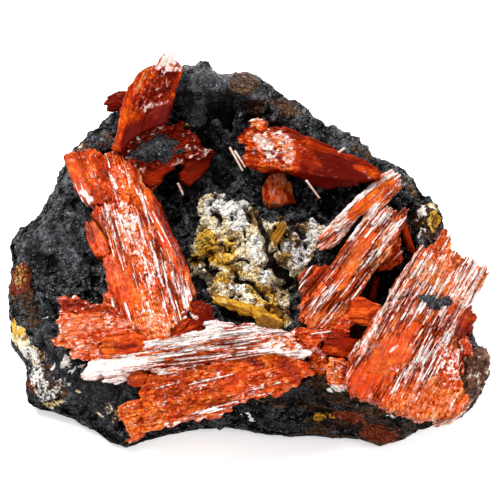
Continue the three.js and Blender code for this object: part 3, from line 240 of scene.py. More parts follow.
# --------------------------------------------------------------------- meshes
def make_object(name, verts, quads, tris, material, attrs, uv=None, smooth_faces=False):
    verts = (np.asarray(verts) + SHIFT) / 1000.0
    quads = np.asarray(quads, dtype=np.int64).reshape(-1, 4)
    tris = np.asarray(tris, dtype=np.int64).reshape(-1, 3)
    me = bpy.data.meshes.new(name)
    me.vertices.add(len(verts))
    me.vertices.foreach_set("co", verts.astype(np.float32).ravel())
    loops = np.concatenate([quads.ravel(), tris.ravel()]).astype(np.int32)
    me.loops.add(len(loops))
    me.loops.foreach_set("vertex_index", loops)
    n = len(quads) + len(tris)
    me.polygons.add(n)
    start = np.concatenate([np.arange(len(quads)) * 4, 4 * len(quads) + np.arange(len(tris)) * 3]).astype(np.int32)
    me.polygons.foreach_set("loop_start", start)
    me.polygons.foreach_set("use_smooth", np.full(n, smooth_faces))
    me.update(calc_edges=True)
    me.validate()
    for key, data in attrs.items():
        a = me.attributes.new(key, "FLOAT_VECTOR", "POINT")
        a.data.foreach_set("vector", np.asarray(data, dtype=np.float32).ravel())
    if uv is not None:
        layer = me.uv_layers.new(name="OFBake")
        layer.data.foreach_set("uv", np.asarray(uv, dtype=np.float32).ravel())
    me.materials.append(material)
    ob = bpy.data.objects.new(name, me)
    bpy.context.scene.collection.objects.link(ob)
    return ob


def merge(parts):
    vs, qs, ts, off = [], [], [], 0
    attrs = {}
    for v, q, t, a in parts:
        vs.append(v)
        qs.append(np.asarray(q).reshape(-1, 4) + off)
        ts.append(np.asarray(t).reshape(-1, 3) + off)
        for key, data in a.items():
            attrs.setdefault(key, []).append(data)
        off += len(v)
    return np.vstack(vs), np.vstack(qs), np.vstack(ts), {k: np.vstack(d) for k, d in attrs.items()}


# -------------------------------------------------------- one striated blade
def lean_frame(A, B, roll):
    d = B - A
    L = np.linalg.norm(d)
    d = d / L
    n = FRONT - d * FRONT.dot(d)
    n /= np.linalg.norm(n)
    c, s = math.cos(math.radians(roll)), math.sin(math.radians(roll))
    n = n * c + np.cross(d, n) * s
    return d, n, np.cross(n, d), L


def prism(rng, A, B, w, t, roll, sa, sb, sec, taper, st):
    """A crystal blade with lengthwise striations, splintered ends and its own fibre coordinates."""
    A, B = np.array(A, float), np.array(B, float)
    d, n, u, L = lean_frame(A, B, roll)
    poly = SECTIONS[sec] if isinstance(sec, int) else sec
    poly = np.array(poly, float) * [w / 2, t / 2]
    ds = st.get("ds", 0.10)
    xy, nrm, pp = [], [], []
    P = 0.0
    for i in range(len(poly)):
        a, b = poly[i], poly[(i + 1) % len(poly)]
        e = b - a
        le = np.hypot(*e)
        k = max(1, int(round(le / ds)))
        nn = np.array([e[1], -e[0]]) / le
        for j in range(k):
            f = j / k
            xy.append(a + e * f)
            nrm.append(nn)
            pp.append(P + le * f)
        P += le
    xy, nrm, pp = np.array(xy), np.array(nrm), np.array(pp)
    N = len(xy)
    nrm = (nrm + np.roll(nrm, 1, 0))
    nrm /= np.linalg.norm(nrm, axis=1)[:, None] + 1e-9
    M = int(np.clip(math.ceil(L / st.get("dl", 0.38)), 6, 70))
    s = np.linspace(0, 1, M + 1)
    D = np.zeros((M + 1, N))
    e0 = np.zeros(N)
    e1 = np.zeros(N)
    stri, tilt, ragged = st.get("stri", 0.09), st.get("tilt", 0.5), st.get("ragged", 0.5)
    K = int(P / st.get("pitch", 0.16))
    for k in range(K):
        painted_sheen_col = rng.uniform(0, P)
        hw = math.exp(rng.uniform(math.log(0.05), math.log(st.get("wide", 0.5))))
        q = (pp - painted_sheen_col + P / 2) % P - P / 2
        m = np.abs(q) < hw
        if not m.any():
            continue
        amp = rng.uniform(-1, 0.8) * stri * math.sqrt(hw / 0.2)
        tl = rng.uniform(-1, 1) * tilt * 0.6
        if rng.random() < 0.45:
            ms = np.ones(M + 1)
        else:
            c0 = rng.uniform(-0.3, 0.9)
            c1 = c0 + rng.uniform(0.15, 0.9)
            ms = ((s > c0) & (s < c1)).astype(float)
        D += ms[:, None] * (m * np.clip(amp + tl * q, -0.35, 0.25))[None, :]
        if hw > 0.12:
            e0 = np.where(m, rng.uniform(-0.7, 1) * ragged * 0.5, e0)
            e1 = np.where(m, rng.uniform(-1, 0.5) * ragged, e1)
    D = np.clip(D, -0.5, 0.28)
    xn = xy[:, 0] / (w / 2)
    yn = xy[:, 1] / (t / 2)
    e0 = e0 - sa * xn - 0.25 * np.abs(yn)
    e1 = e1 + sb * xn - 0.25 * np.abs(yn)
    e1 = np.maximum(e1, -0.35 * L)
    e0 = np.maximum(e0, -0.3 * L)
    pos = -e0[None, :] + s[:, None] * (L + e0 + e1)[None, :]
    ks = (1 + (taper - 1) * s)[:, None]
    bulge = st.get("bulge", 0.0) * np.sin(np.pi * s)[:, None]
    X = xy[None, :, 0] * (ks + bulge) + nrm[None, :, 0] * D
    Y = xy[None, :, 1] * (ks + bulge) + nrm[None, :, 1] * D
    rings = [(X[i], Y[i], pos[i]) for i in range(M + 1)]

    def cap(X0, Y0, P0, sign, seed):
        cx, cy = X0.mean(), Y0.mean()
        mean = P0.mean()
        out = []
        steps = max(2, int(min(w, t) / 2 / 0.3))
        for j in range(1, steps):
            f = 1 - j / steps
            x = cx + (X0 - cx) * f
            y = cy + (Y0 - cy) * f
            z = (P0 - mean) * f ** 0.8 + mean
            q = np.stack([x * 2.2, y * 2.2, np.full(N, seed)], 1)
            b, v, c2 = cells(q, 5)
            z = z + sign * ((v - 0.5) * st.get("capcell", 0.5) + (0.4 - b) * 0.12)
            out.append((x, y, z))
        return out, (cx, cy, out[-1][2].mean())

    seed = rng.uniform(0, 50)
    c1, m1 = cap(X[-1], Y[-1], pos[-1], 1, seed)
    c0, m0 = cap(X[0], Y[0], pos[0], -1, seed + 7.7)
    allr = list(reversed(c0)) + rings + c1
    R = len(allr)
    XX = np.concatenate([r[0] for r in allr] + [[m0[0]], [m1[0]]])
    YY = np.concatenate([r[1] for r in allr] + [[m0[1]], [m1[1]]])
    ZZ = np.concatenate([r[2] for r in allr] + [[m0[2]], [m1[2]]])
    V = A + np.outer(ZZ, d) + np.outer(XX, u) + np.outer(YY, n)
    pa = np.concatenate([np.tile(pp, R), [0.0, 0.0]])
    i0 = np.arange(N)
    i1 = (i0 + 1) % N
    Q = []
    for r in range(R - 1):
        Q.append(np.stack([r * N + i0, r * N + i1, (r + 1) * N + i1, (r + 1) * N + i0], 1))
    Q = np.vstack(Q)
    b0, b1 = R * N, R * N + 1
    T = np.vstack([np.stack([i1, i0, np.full(N, b0)], 1), np.stack([(R - 1) * N + i0, (R - 1) * N + i1, np.full(N, b1)], 1)])
    rough = st.get("rough", 0.0)
    if rough:
        rad = np.outer(XX, u) + np.outer(YY, n) + np.outer(ZZ - L / 2, d) * 0.3
        rad /= np.linalg.norm(rad, axis=1)[:, None] + 1e-6
        sc = st.get("grain", 1.3)
        b, v, c2 = cells(V * sc, 31)
        V = V + rad * (rough * ((v - 0.5) * 1.2 + (0.55 - b) * 0.7))[:, None]
        V = V + rad * (rough * 0.35 * value_noise(V * 3.1, 3))[:, None]
    # fibre coordinates: round the section, along the length, and the blade's own number
    fib = np.stack([pa, ZZ, np.full(len(V), rng.uniform(0, 40))], 1)
    sn = np.clip(ZZ / L, 0, 1)
    un = np.clip(XX / (w / 2), -1, 1)
    # pale: share of painted highlight (silky white sheen) in the colour
    pale = st.get("pale", 0.3)
    deep = st.get("deep", 0.2)
    if callable(pale):
        pale = pale(un, sn)
    if callable(deep):
        deep = deep(un, sn)
    tone = np.stack([np.broadcast_to(pale, len(V)), np.broadcast_to(deep, len(V)), np.full(len(V), rng.random())], 1)
    grit = st.get("grit", 0.15)
    if callable(grit):
        grit = grit(un, sn)
    own = value_noise(np.stack([pa * 4.0, ZZ * 0.5, fib[:, 2]], 1), 5) * 0.35
    gr = np.stack([np.broadcast_to(grit, len(V)), own + 0.5, np.full(len(V), st.get("flat", 0.3))], 1)
    shade_gap = np.stack([np.full(len(V), 1.0), np.zeros(len(V)), np.zeros(len(V))], 1)
    return V, Q, T, {"fib": fib, "tone": tone, "grit": gr, "shade_gap": shade_gap}


def flat_cells(x, y, k):
    """Nearest scattered point in a plane: four random values of it, the way to it, and room to the next."""
    ix, iy = np.floor(x).astype(np.int64), np.floor(y).astype(np.int64)
    zero = ix * 0
    best, second = np.full(len(x), 9.0), np.full(len(x), 9.0)
    bx, by, ci, cj = x * 0, x * 0, zero, zero
    for dx in (-1, 0, 1):
        for dy in (-1, 0, 1):
            jx, jy = ix + dx, iy + dy
            ox = x - jx - 0.1 - 0.8 * hash3(jx, jy, zero, k + 1)
            oy = y - jy - 0.1 - 0.8 * hash3(jx, jy, zero, k + 2)
            d = ox * ox + oy * oy
            near = d < best
            second = np.where(near, best, np.minimum(second, d))
            bx, by = np.where(near, ox, bx), np.where(near, oy, by)
            ci, cj = np.where(near, jx, ci), np.where(near, jy, cj)
            best = np.where(near, d, best)
    return [hash3(ci, cj, zero, k + m) - 0.5 for m in (3, 4, 5, 6)], bx, by, np.sqrt(second) - np.sqrt(best)


def flat_noise(x, y, k):
    return value_noise(np.stack([x, y, x * 0 + 0.37 * (k % 7)], 1), k)


def flood(mask, seed):
    """The part of a mask that hangs together with the seed."""
    got = np.zeros_like(mask)
    got[seed] = True
    while True:
        new = got.copy()
        new[1:] |= got[:-1]
        new[:-1] |= got[1:]
        new[:, 1:] |= got[:, :-1]
        new[:, :-1] |= got[:, 1:]
        new &= mask
        new |= got
        if new.sum() == got.sum():
            return got
        got = new


def capsule(s, t, s0, t0, s1, t1):
    es, et = s1 - s0, t1 - t0
    f = np.clip(((s - s0) * es + (t - t0) * et) / (es * es + et * et + 1e-9), 0, 1)
    return np.hypot(s - s0 - f * es, t - t0 - f * et)


def slab(A, d, u, n, rim, thick, st, k):
    """A broad crystal: its outline in its own plane, s along the fibres and t across, worked into fibres and grains."""
    A, d, u, n, rim = (np.array(v, float) for v in (A, d, u, n, rim))
    ds, dt = ((st.get("ds", 0.13), st.get("dt", 0.09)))
    lo, hi = rim.min(0) - 0.5, rim.max(0) + 0.5
    S, T = np.arange(lo[0], hi[0], ds), np.arange(lo[1], hi[1], dt)
    shape = (len(S), len(T))
    s, t = (v.ravel() for v in np.meshgrid(S, T, indexing="ij"))
    ox, oy = 17.3 * k, 9.1 * k

    # what shows where: painted highlight (silky white sheen), deep red, sugary grain, smooth glass
    base = st["base"]
    field = {key: np.full(len(s), float(base.get(key, 0.0))) for key in ("pale", "deep", "grit", "flat")}
    wob = 0.55 * flat_noise(s * 0.55 + ox, t * 1.5 + oy, 11) + 0.3 * flat_noise(s * 1.7 + ox, t * 4.0 + oy, 12)
    for kind, s0, t0, s1, t1, r, val in st.get("zones", ()):
        e = capsule(s, t, s0, t0, s1, t1) / r + wob * min(1.0, 0.35 + 0.5 / r)
        m = 1 - smooth(e, 0.55, 1.25)
        field[kind] = field[kind] * (1 - m) + val * m
    pale, deep, grit, flat = (field[key] for key in ("pale", "deep", "grit", "flat"))
    base_pale = pale

    # splintered ends and crumbled edges
    j1 = hash3(np.floor((t + 0.04 * s) / 0.85 + ox).astype(np.int64), np.zeros(len(t), np.int64), np.zeros(len(t), np.int64), k + 3) - 0.5
    j2 = hash3(np.floor((t + 0.02 * s) / 0.31 + oy).astype(np.int64), np.zeros(len(t), np.int64), np.zeros(len(t), np.int64), k + 4) - 0.5
    rag = st.get("ragged", 1.0)
    s2 = s + rag * (1 - 0.6 * grit) * (0.7 * j1 + 0.6 * j2) + (0.1 + 0.35 * grit) * flat_noise(s * 1.5 + ox, t * 1.5, 13)
    t2 = t + (0.05 + 0.3 * grit) * flat_noise(s * 1.4, t * 1.4 + oy, 14)
    sd = polygon_depth(s2, t2, rim) + st.get("swell", 0.26)
    inside = (sd > 0).reshape(shape)
    cell = inside[:-1, :-1] & inside[1:, :-1] & inside[:-1, 1:] & inside[1:, 1:]
    cs = sd.reshape(shape)[:-1, :-1] * cell
    cell = flood(cell, np.unravel_index(np.argmax(cs), cs.shape))
    pad = np.pad(~cell, 1, constant_values=True)
    cell = ~flood(pad, (0, 0))[1:-1, 1:-1]
    for _ in range(8):          # no two cells may touch at a corner only
        a, b, c, e = cell[:-1, :-1], cell[1:, :-1], cell[:-1, 1:], cell[1:, 1:]
        x1 = a & e & ~b & ~c
        x2 = b & c & ~a & ~e
        if not (x1.any() or x2.any()):
            break
        fill = np.zeros_like(cell)
        fill[1:, :-1] |= x1
        fill[:-1, 1:] |= x1
        fill[:-1, :-1] |= x2
        fill[1:, 1:] |= x2
        cell |= fill

    # relief
    def fibres(L, W, amp, tilt, seed, twist=0.0):
        r, bx, by, gap = flat_cells(s / L + ox + 0.3 * flat_noise(s, t, 15), t / W + oy + twist * s, seed + k)
        return amp * r[0] * 2 + tilt * r[1] * by * W + 0.25 * tilt * r[2] * np.clip(bx * L, -1.0, 1.0), r, gap

    hc, rc, gc = fibres(7.0, 0.95, 0.17, 0.55, 100)
    hf, rf, gf = fibres(2.6, 0.34, 0.06, 1.3, 200, 0.05)
    hx, rx, gx = fibres(1.3, 0.16, 0.022, 1.2, 300, -0.04)
    gs = st.get("grain", 0.8)
    r1, b1, c1, g1 = flat_cells(s / (1.25 * gs) + ox, t / (0.95 * gs) + oy, 400 + k)
    r2, b2, c2, g2 = flat_cells(s / (0.55 * gs) + ox, t / (0.42 * gs) + oy, 500 + k)
    hg = 0.26 * r1[0] * 2 + 1.0 * r1[1] * b1 * gs + 1.0 * r1[2] * c1 * gs + 0.10 * r2[0] * 2 + 0.75 * r2[1] * b2 * gs + 0.75 * r2[2] * c2 * gs
    r3, b3, c3, g3 = flat_cells(s / 7.0 + ox, t / 2.3 + oy, 600 + k)
    hs = 0.55 * r3[1] * c3 + 0.25 * r3[2] * b3
    h = (1 - grit) * (hc + hf + hx) + grit * hg * st.get("bite", 0.8)
    h = h * (1 - 0.96 * np.minimum(flat, 1.0)) + hs * np.maximum(flat, 0.25)
    bev, dep = st.get("bevel", 0.38), st.get("drop", 0.38)
    h = h - dep * (1 - 0.35 * grit) * (1 - np.clip(sd / bev, 0, 1)) ** 2
    h = h + st.get("dome", 0.0) * (1 - (1 - np.clip(sd / (max(sd.max(), 0.5)), 0, 1)) ** 2)
    h = h + 0.22 * flat_noise(s * 0.22 + ox, t * 0.3 + oy, 16)
    for s0, t0, s1, t1, slope, side in st.get("facets", ()):
        L = math.hypot(s1 - s0, t1 - t0)
        off = side * ((s1 - s0) * (t - t0) - (t1 - t0) * (s - s0)) / L
        h = h - math.tan(math.radians(slope)) * np.maximum(off, 0)
    for s0, t0, s1, t1 in st.get("cracks", ()):
        h = h - 0.4 * np.exp(-(capsule(s, t, s0, t0, s1, t1) / 0.13) ** 2)
    # loose laths lying along the fibres, each with painted highlight (silky white sheen) or clear orange, and a painted
    # shadow along one side
    pale, outside_lath_shadow = pale.copy(), np.ones(len(s))
    lrng = np.random.default_rng(900 + k)
    span = hi - lo
    for _ in range(int(st.get("laths", 1.1) * span[0] * span[1])):
        s0, t0 = lo + span * lrng.random(2)
        L, w = math.exp(lrng.uniform(0.3, 2.1)), math.exp(lrng.uniform(-3.0, -1.8))
        lean, tilt = lrng.normal(0, 0.03), lrng.uniform(-0.8, 0.8)
        a1, a2, a3, a4 = lrng.random(4)
        i = int((s0 - lo[0]) / ds) * shape[1] + int((t0 - lo[1]) / dt)
        if i >= len(s) or sd[i] < 0.15 or flat[i] > 0.45 or grit[i] > 0.3 + 0.6 * a3:
            continue
        off = t - t0 - lean * (s - s0)
        run = np.abs(s - s0 + 0.6 * off) < L / 2
        m = run & (np.abs(off) < w)
        h = np.where(m, h + 0.04 + 0.12 * a1 + tilt * off, h)
        pale[m] = 0.65 + 0.85 * a4 if a2 < 0.06 + 0.92 * base_pale[i] else 0.3 * a4 - 0.15
        # painted shadow: a dark line along one side of the lath
        outside_lath_shadow[run & (np.abs(off - w - 0.05) < 0.05)] = 0.0
    h = np.maximum(h, -0.8 * thick)

    use = np.zeros(shape, bool)
    for di in (0, 1):
        for dj in (0, 1):
            use[di:di + cell.shape[0], dj:dj + cell.shape[1]] |= cell
    ids = np.full(shape, -1, np.int64)
    ids[use] = np.arange(use.sum())
    ci, cj = np.nonzero(cell)
    Qt = np.stack([ids[ci, cj], ids[ci + 1, cj], ids[ci + 1, cj + 1], ids[ci, cj + 1]], 1)
    pick = use.ravel()
    s, t, h, sd = s[pick], t[pick], h[pick], sd[pick]
    N = len(s)
    ea, eb = Qt.ravel(), np.roll(Qt, -1, 1).ravel()
    edge = ~np.isin(ea * N + eb, eb * N + ea)
    ea, eb = ea[edge], eb[edge]
    rimv = np.unique(ea)
    row = np.full(N, -1, np.int64)
    row[rimv] = np.arange(len(rimv))
    K = 8
    cs, ct = s.mean(), t.mean()
    tap = st.get("under", 0.90)
    sb, tb = cs + (s - cs) * tap, ct + (t - ct) * tap
    hb = -thick + 0.2 * flat_noise(s * 0.8, t * 0.8, 17)
    VS, VT, VH = [s], [t], [h]
    src = [np.arange(N)]
    away = np.hypot(s[rimv] - cs, t[rimv] - ct) + 1e-6
    for j in range(1, K):
        f = j / K
        # the flanks are worn and broken, so they draw in unevenly
        worn = 0.30 * flat_noise(s[rimv] * 0.8 + oy, t[rimv] * 0.8 + 4.0 * f, 18) + 0.22 * flat_noise(s[rimv] * 2.3 + ox, t[rimv] * 2.3 + 9.0 * f, 19)
        draw = np.clip((0.12 + worn) * math.sin(math.pi * f) ** 0.6, -0.05, 0.45) / away
        VS.append((s[rimv] * (1 - f) + sb[rimv] * f) * (1 - draw) + cs * draw)
        VT.append((t[rimv] * (1 - f) + tb[rimv] * f) * (1 - draw) + ct * draw)
        VH.append(h[rimv] * (1 - f) + hb[rimv] * f)
        src.append(rimv)
    VS.append(sb)
    VT.append(tb)
    VH.append(hb)
    src.append(np.arange(N))
    VS, VT, VH, src = (np.concatenate(v) for v in (VS, VT, VH, src))
    low = N + (K - 1) * len(rimv)
    Q = [Qt, low + Qt[:, ::-1]]
    kinds = [np.zeros(len(Qt)), np.ones(len(Qt))]
    up = ea, eb
    for j in range(1, K + 1):
        dn = (N + (j - 1) * len(rimv) + row[ea], N + (j - 1) * len(rimv) + row[eb]) if j < K else (low + ea, low + eb)
        Q.append(np.stack([up[1], up[0], dn[0], dn[1]], 1))
        up = dn
    V = A + np.outer(VS, d) + np.outer(VT, u) + np.outer(VH, n)
    side = np.concatenate([np.zeros(N), np.ones(len(VS) - N)])
    fib = np.stack([VT + 0.7 * VH * side, VS, np.full(len(VS), 3.7 * k)], 1)
    # each fibre's and grain's own random value
    own = (1 - grit) * (0.55 * rf[0] + 0.25 * rc[0] + 0.45 * rx[0]) + grit * (0.7 * r2[3] + 0.3 * r1[3])
    own2 = (1 - grit) * (0.5 * rf[3] + 0.5 * rc[3]) + grit * (0.6 * r2[0] + 0.4 * r1[0])
    gap = (1 - grit) * np.minimum(gf, 0.6 * gc) + grit * np.minimum(0.5 * g2, 0.6 * g1)
    at = lambda v: v[pick][src]
    gap = gap * outside_lath_shadow
    tone = np.stack([at(pale), at(deep), at(own2) + 0.5], 1)
    gr = np.stack([at(grit), at(own) + 0.5, at(flat)], 1)
    # room to the next fibre or grain, nil in the painted lath shadows; the material paints it as shade
    shade_gap = np.stack([at(gap), side, 0 * side], 1)
    return V, np.vstack(Q), np.zeros((0, 3), np.int64), {"fib": fib, "tone": tone, "grit": gr, "shade_gap": shade_gap}


# ------------------------------------------------------------------ materials
def nodes_of(mat):
    mat.use_nodes = True
    nt = mat.node_tree
    nt.nodes.clear()
    out = nt.nodes.new("ShaderNodeOutputMaterial")
    bsdf = nt.nodes.new("ShaderNodeBsdfPrincipled")
    nt.links.new(bsdf.outputs[0], out.inputs[0])
    return nt, bsdf


def math_node(nt, op, a, b=None, c=None, clamp=False):
    m = nt.nodes.new("ShaderNodeMath")
    m.operation = op
    m.use_clamp = clamp
    for i, x in enumerate((a, b, c)):
        if x is None:
            continue
        if isinstance(x, (int, float)):
            m.inputs[i].default_value = x
        else:
            nt.links.new(x, m.inputs[i])
    return m.outputs[0]


def mix_colour(nt, fac, a, b):
    m = nt.nodes.new("ShaderNodeMix")
    m.data_type = "RGBA"
    if isinstance(fac, (int, float)):
        m.inputs[0].default_value = fac
    else:
        nt.links.new(fac, m.inputs[0])
    for i, x in ((6, a), (7, b)):
        if isinstance(x, tuple):
            m.inputs[i].default_value = (*x, 1.0)
        else:
            nt.links.new(x, m.inputs[i])
    return m.outputs[2]


def multiply(nt, a, b):
    m = nt.nodes.new("ShaderNodeMix")
    m.data_type = "RGBA"
    m.blend_type = "MULTIPLY"
    m.inputs[0].default_value = 1.0
    nt.links.new(a, m.inputs[6])
    nt.links.new(b, m.inputs[7])
    return m.outputs[2]


def ramp(nt, fac, stops):
    r = nt.nodes.new("ShaderNodeValToRGB")
    nt.links.new(fac, r.inputs[0])
    els = r.color_ramp.elements
    while len(els) < len(stops):
        els.new(0.5)
    for e, (p, c) in zip(els, stops):
        e.position = p
        e.color = (*c, 1.0) if isinstance(c, tuple) else (c, c, c, 1.0)
    return r.outputs[0]


def attribute(nt, name):
    a = nt.nodes.new("ShaderNodeAttribute")
    a.attribute_name = name
    return a.outputs["Vector"]


def separate(nt, vec):
    s = nt.nodes.new("ShaderNodeSeparateXYZ")
    nt.links.new(vec, s.inputs[0])
    return s.outputs


def scaled(nt, vec, scale):
    m = nt.nodes.new("ShaderNodeMapping")
    nt.links.new(vec, m.inputs[0])
    m.inputs["Scale"].default_value = scale
    return m.outputs[0]


def noise(nt, vec, scale=1.0, detail=3.0, rough=0.55):
    n = nt.nodes.new("ShaderNodeTexNoise")
    nt.links.new(vec, n.inputs["Vector"])
    n.inputs["Scale"].default_value = scale
    n.inputs["Detail"].default_value = detail
    n.inputs["Roughness"].default_value = rough
    return n.outputs["Fac"]


def voronoi(nt, vec, scale, feature="F1"):
    v = nt.nodes.new("ShaderNodeTexVoronoi")
    v.feature = feature
    nt.links.new(vec, v.inputs["Vector"])
    v.inputs["Scale"].default_value = scale
    return v.outputs


def warped(nt, vec, scale, amount):
    """The place itself, pushed about by noise."""
    n = nt.nodes.new("ShaderNodeTexNoise")
    nt.links.new(vec, n.inputs["Vector"])
    n.inputs["Scale"].default_value = scale
    n.inputs["Detail"].default_value = 3.0
    off = nt.nodes.new("ShaderNodeVectorMath")
    off.operation = "SUBTRACT"
    nt.links.new(n.outputs["Color"], off.inputs[0])
    off.inputs[1].default_value = (0.5, 0.5, 0.5)
    m = nt.nodes.new("ShaderNodeVectorMath")
    m.operation = "MULTIPLY_ADD"
    nt.links.new(off.outputs[0], m.inputs[0])
    m.inputs[1].default_value = (amount, amount, amount)
    nt.links.new(vec, m.inputs[2])
    return m.outputs[0]


def position_mm(nt):
    t = nt.nodes.new("ShaderNodeTexCoord")
    return scaled(nt, t.outputs["Object"], (1000.0, 1000.0, 1000.0))


def bump(nt, height, strength, distance, normal=None):
    b = nt.nodes.new("ShaderNodeBump")
    b.inputs["Strength"].default_value = strength
    b.inputs["Distance"].default_value = distance
    nt.links.new(height, b.inputs["Height"])
    if normal is not None:
        nt.links.new(normal, b.inputs["Normal"])
    return b.outputs[0]


def crystal_material(name, bright, orange, dark, pale_col, rough=(0.10, 0.40), transmission=0.0, sss=0.12, ior=1.5, strength=0.3, level=0.42, tinted=True):
    mat = bpy.data.materials.new(name)
    nt, bsdf = nodes_of(mat)
    fib = attribute(nt, "fib")
    tone = separate(nt, attribute(nt, "tone"))     # painted highlight (silky white sheen), deep red, the fibre's own number
    grit = separate(nt, attribute(nt, "grit"))     # sugary grain, the grain's own number, smooth glass
    shade_gap = separate(nt, attribute(nt, "shade_gap"))     # room to the next fibre or grain, which is painted as shade
    pos = position_mm(nt)
    f1 = noise(nt, scaled(nt, fib, (2.2, 0.22, 1.0)), 1.0, 4.0, 0.6)      # broad fibres
    f2 = noise(nt, scaled(nt, fib, (8.0, 0.55, 1.0)), 1.0, 3.0, 0.6)      # fine fibres
    blot = noise(nt, pos, 0.40, 3.0, 0.6)
    spot = noise(nt, pos, 2.3, 4.0, 0.7)

    def mul(a, b):
        return math_node(nt, "MULTIPLY", a, b)

    def add(a, b):
        return math_node(nt, "ADD", a, b)

    def sub(a, b):
        return math_node(nt, "SUBTRACT", a, b)

    rough_part = math_node(nt, "MULTIPLY_ADD", grit[2], -0.75, 1.0)       # little happens on smooth glass
    f3 = noise(nt, scaled(nt, fib, (15.0, 0.9, 1.0)), 1.0, 2.0, 0.6)      # hair-thin fibres
    # body colour
    k = add(add(mul(mul(sub(f1, 0.5), 0.30), math_node(nt, "MULTIPLY_ADD", grit[2], -0.6, 1.0)), 0.15), add(mul(blot, 0.34), mul(spot, 0.36)))
    k = sub(k, math_node(nt, "MULTIPLY_ADD", tone[1], 0.42, -0.06))
    k = add(k, mul(mul(sub(tone[2], 0.5), math_node(nt, "MULTIPLY_ADD", grit[0], -0.12, 0.30)), rough_part))
    k = add(k, mul(mul(sub(f3, 0.5), 0.30), rough_part))
    k = sub(k, mul(grit[2], 0.03))
    vo = voronoi(nt, pos, 2.7)                                            # sugary facets
    facet = separate(nt, vo["Color"])
    k = add(k, mul(grit[0], math_node(nt, "MULTIPLY_ADD", facet[0], 0.13, -0.045)))
    mid = tuple(0.5 * d + 0.5 * o for d, o in zip(dark, orange))
    salmon = tuple(0.76 * x + 0.24 * y for x, y in zip(bright, pale_col))
    body = ramp(nt, k, [(0.24, dark), (0.38, mid), (0.50, orange), (0.60, bright), (0.68, salmon)])
    hue = ramp(nt, noise(nt, pos, 0.22, 3.0, 0.6), [(0.38, (0.98, 0.80, 0.80)), (0.50, (1.0, 1.0, 1.0)), (0.62, (1.03, 1.28, 1.0))])
    if tinted:
        body = multiply(nt, body, hue)
    # painted shade: the body darkens where one fibre or grain meets the next, less on sugary grain
    crease_shade = mul(ramp(nt, shade_gap[0], [(0.02, 1.0), (0.18, 0.0)]), math_node(nt, "MULTIPLY_ADD", grit[0], -0.75, 1.0))
    body = mix_colour(nt, mul(mul(crease_shade, 0.75), rough_part), body, tuple(0.4 * d for d in dark))
    # painted highlight: a silky white sheen on a share of the fibres, set by tone[0], and white glints on the grains
    v = add(mul(sub(f2, 0.5), 0.75), mul(sub(f3, 0.5), 0.70))
    v = add(v, mul(sub(spot, 0.5), 0.55))
    v = add(v, mul(sub(grit[1], 0.5), 0.62))
    v = add(v, mul(grit[0], mul(math_node(nt, "GREATER_THAN", facet[1], 0.92), 0.30)))
    v = mul(v, math_node(nt, "MULTIPLY_ADD", grit[2], -0.6, 1.0))
    p = add(v, math_node(nt, "MULTIPLY_ADD", tone[0], 0.58, 0.05))        # 0.5 is the edge of a pale fibre
    painted_sheen_mask = ramp(nt, p, [(0.43, 0.0), (0.54, 1.0)])
    pinkish = mix_colour(nt, 0.36, orange, pale_col)
    dusky = tuple(0.62 * c * m for c, m in zip(pale_col, (1.0, 0.88, 0.82)))
    painted_sheen_col = mix_colour(nt, ramp(nt, p, [(0.50, 0.0), (0.66, 1.0)]), pinkish, mix_colour(nt, ramp(nt, add(mul(f3, 0.6), mul(spot, 0.4)), [(0.40, 0.0), (0.56, 1.0)]), dusky, pale_col))
    painted_sheen_col = mix_colour(nt, ramp(nt, p, [(0.66, 0.0), (0.82, 1.0)]), painted_sheen_col, tuple(0.45 * c + 0.55 for c in pale_col))
    # the painted highlight goes into the body colour
    col = mix_colour(nt, mul(painted_sheen_mask, 0.95), body, painted_sheen_col)
    # more painted shade in the same creases
    col = mix_colour(nt, mul(mul(crease_shade, 0.50), rough_part), col, tuple(0.6 * d for d in dark))
    nt.links.new(col, bsdf.inputs["Base Color"])
    r = math_node(nt, "MULTIPLY_ADD", spot, rough[1] - rough[0], rough[0])
    nt.links.new(r, bsdf.inputs["Roughness"])
    bsdf.inputs["IOR"].default_value = ior
    bsdf.inputs["Specular IOR Level"].default_value = level
    if transmission:
        bsdf.inputs["Transmission Weight"].default_value = transmission
    if sss:
        bsdf.inputs["Subsurface Weight"].default_value = sss
        bsdf.inputs["Subsurface Radius"].default_value = (1.0, 0.18, 0.05)
        bsdf.inputs["Subsurface Scale"].default_value = 0.0010
    h = mul(add(add(mul(f2, 0.5), mul(f3, 0.2)), mul(spot, 0.4)), rough_part)
    nt.links.new(bump(nt, h, strength, 0.00012), bsdf.inputs["Normal"])
    return mat


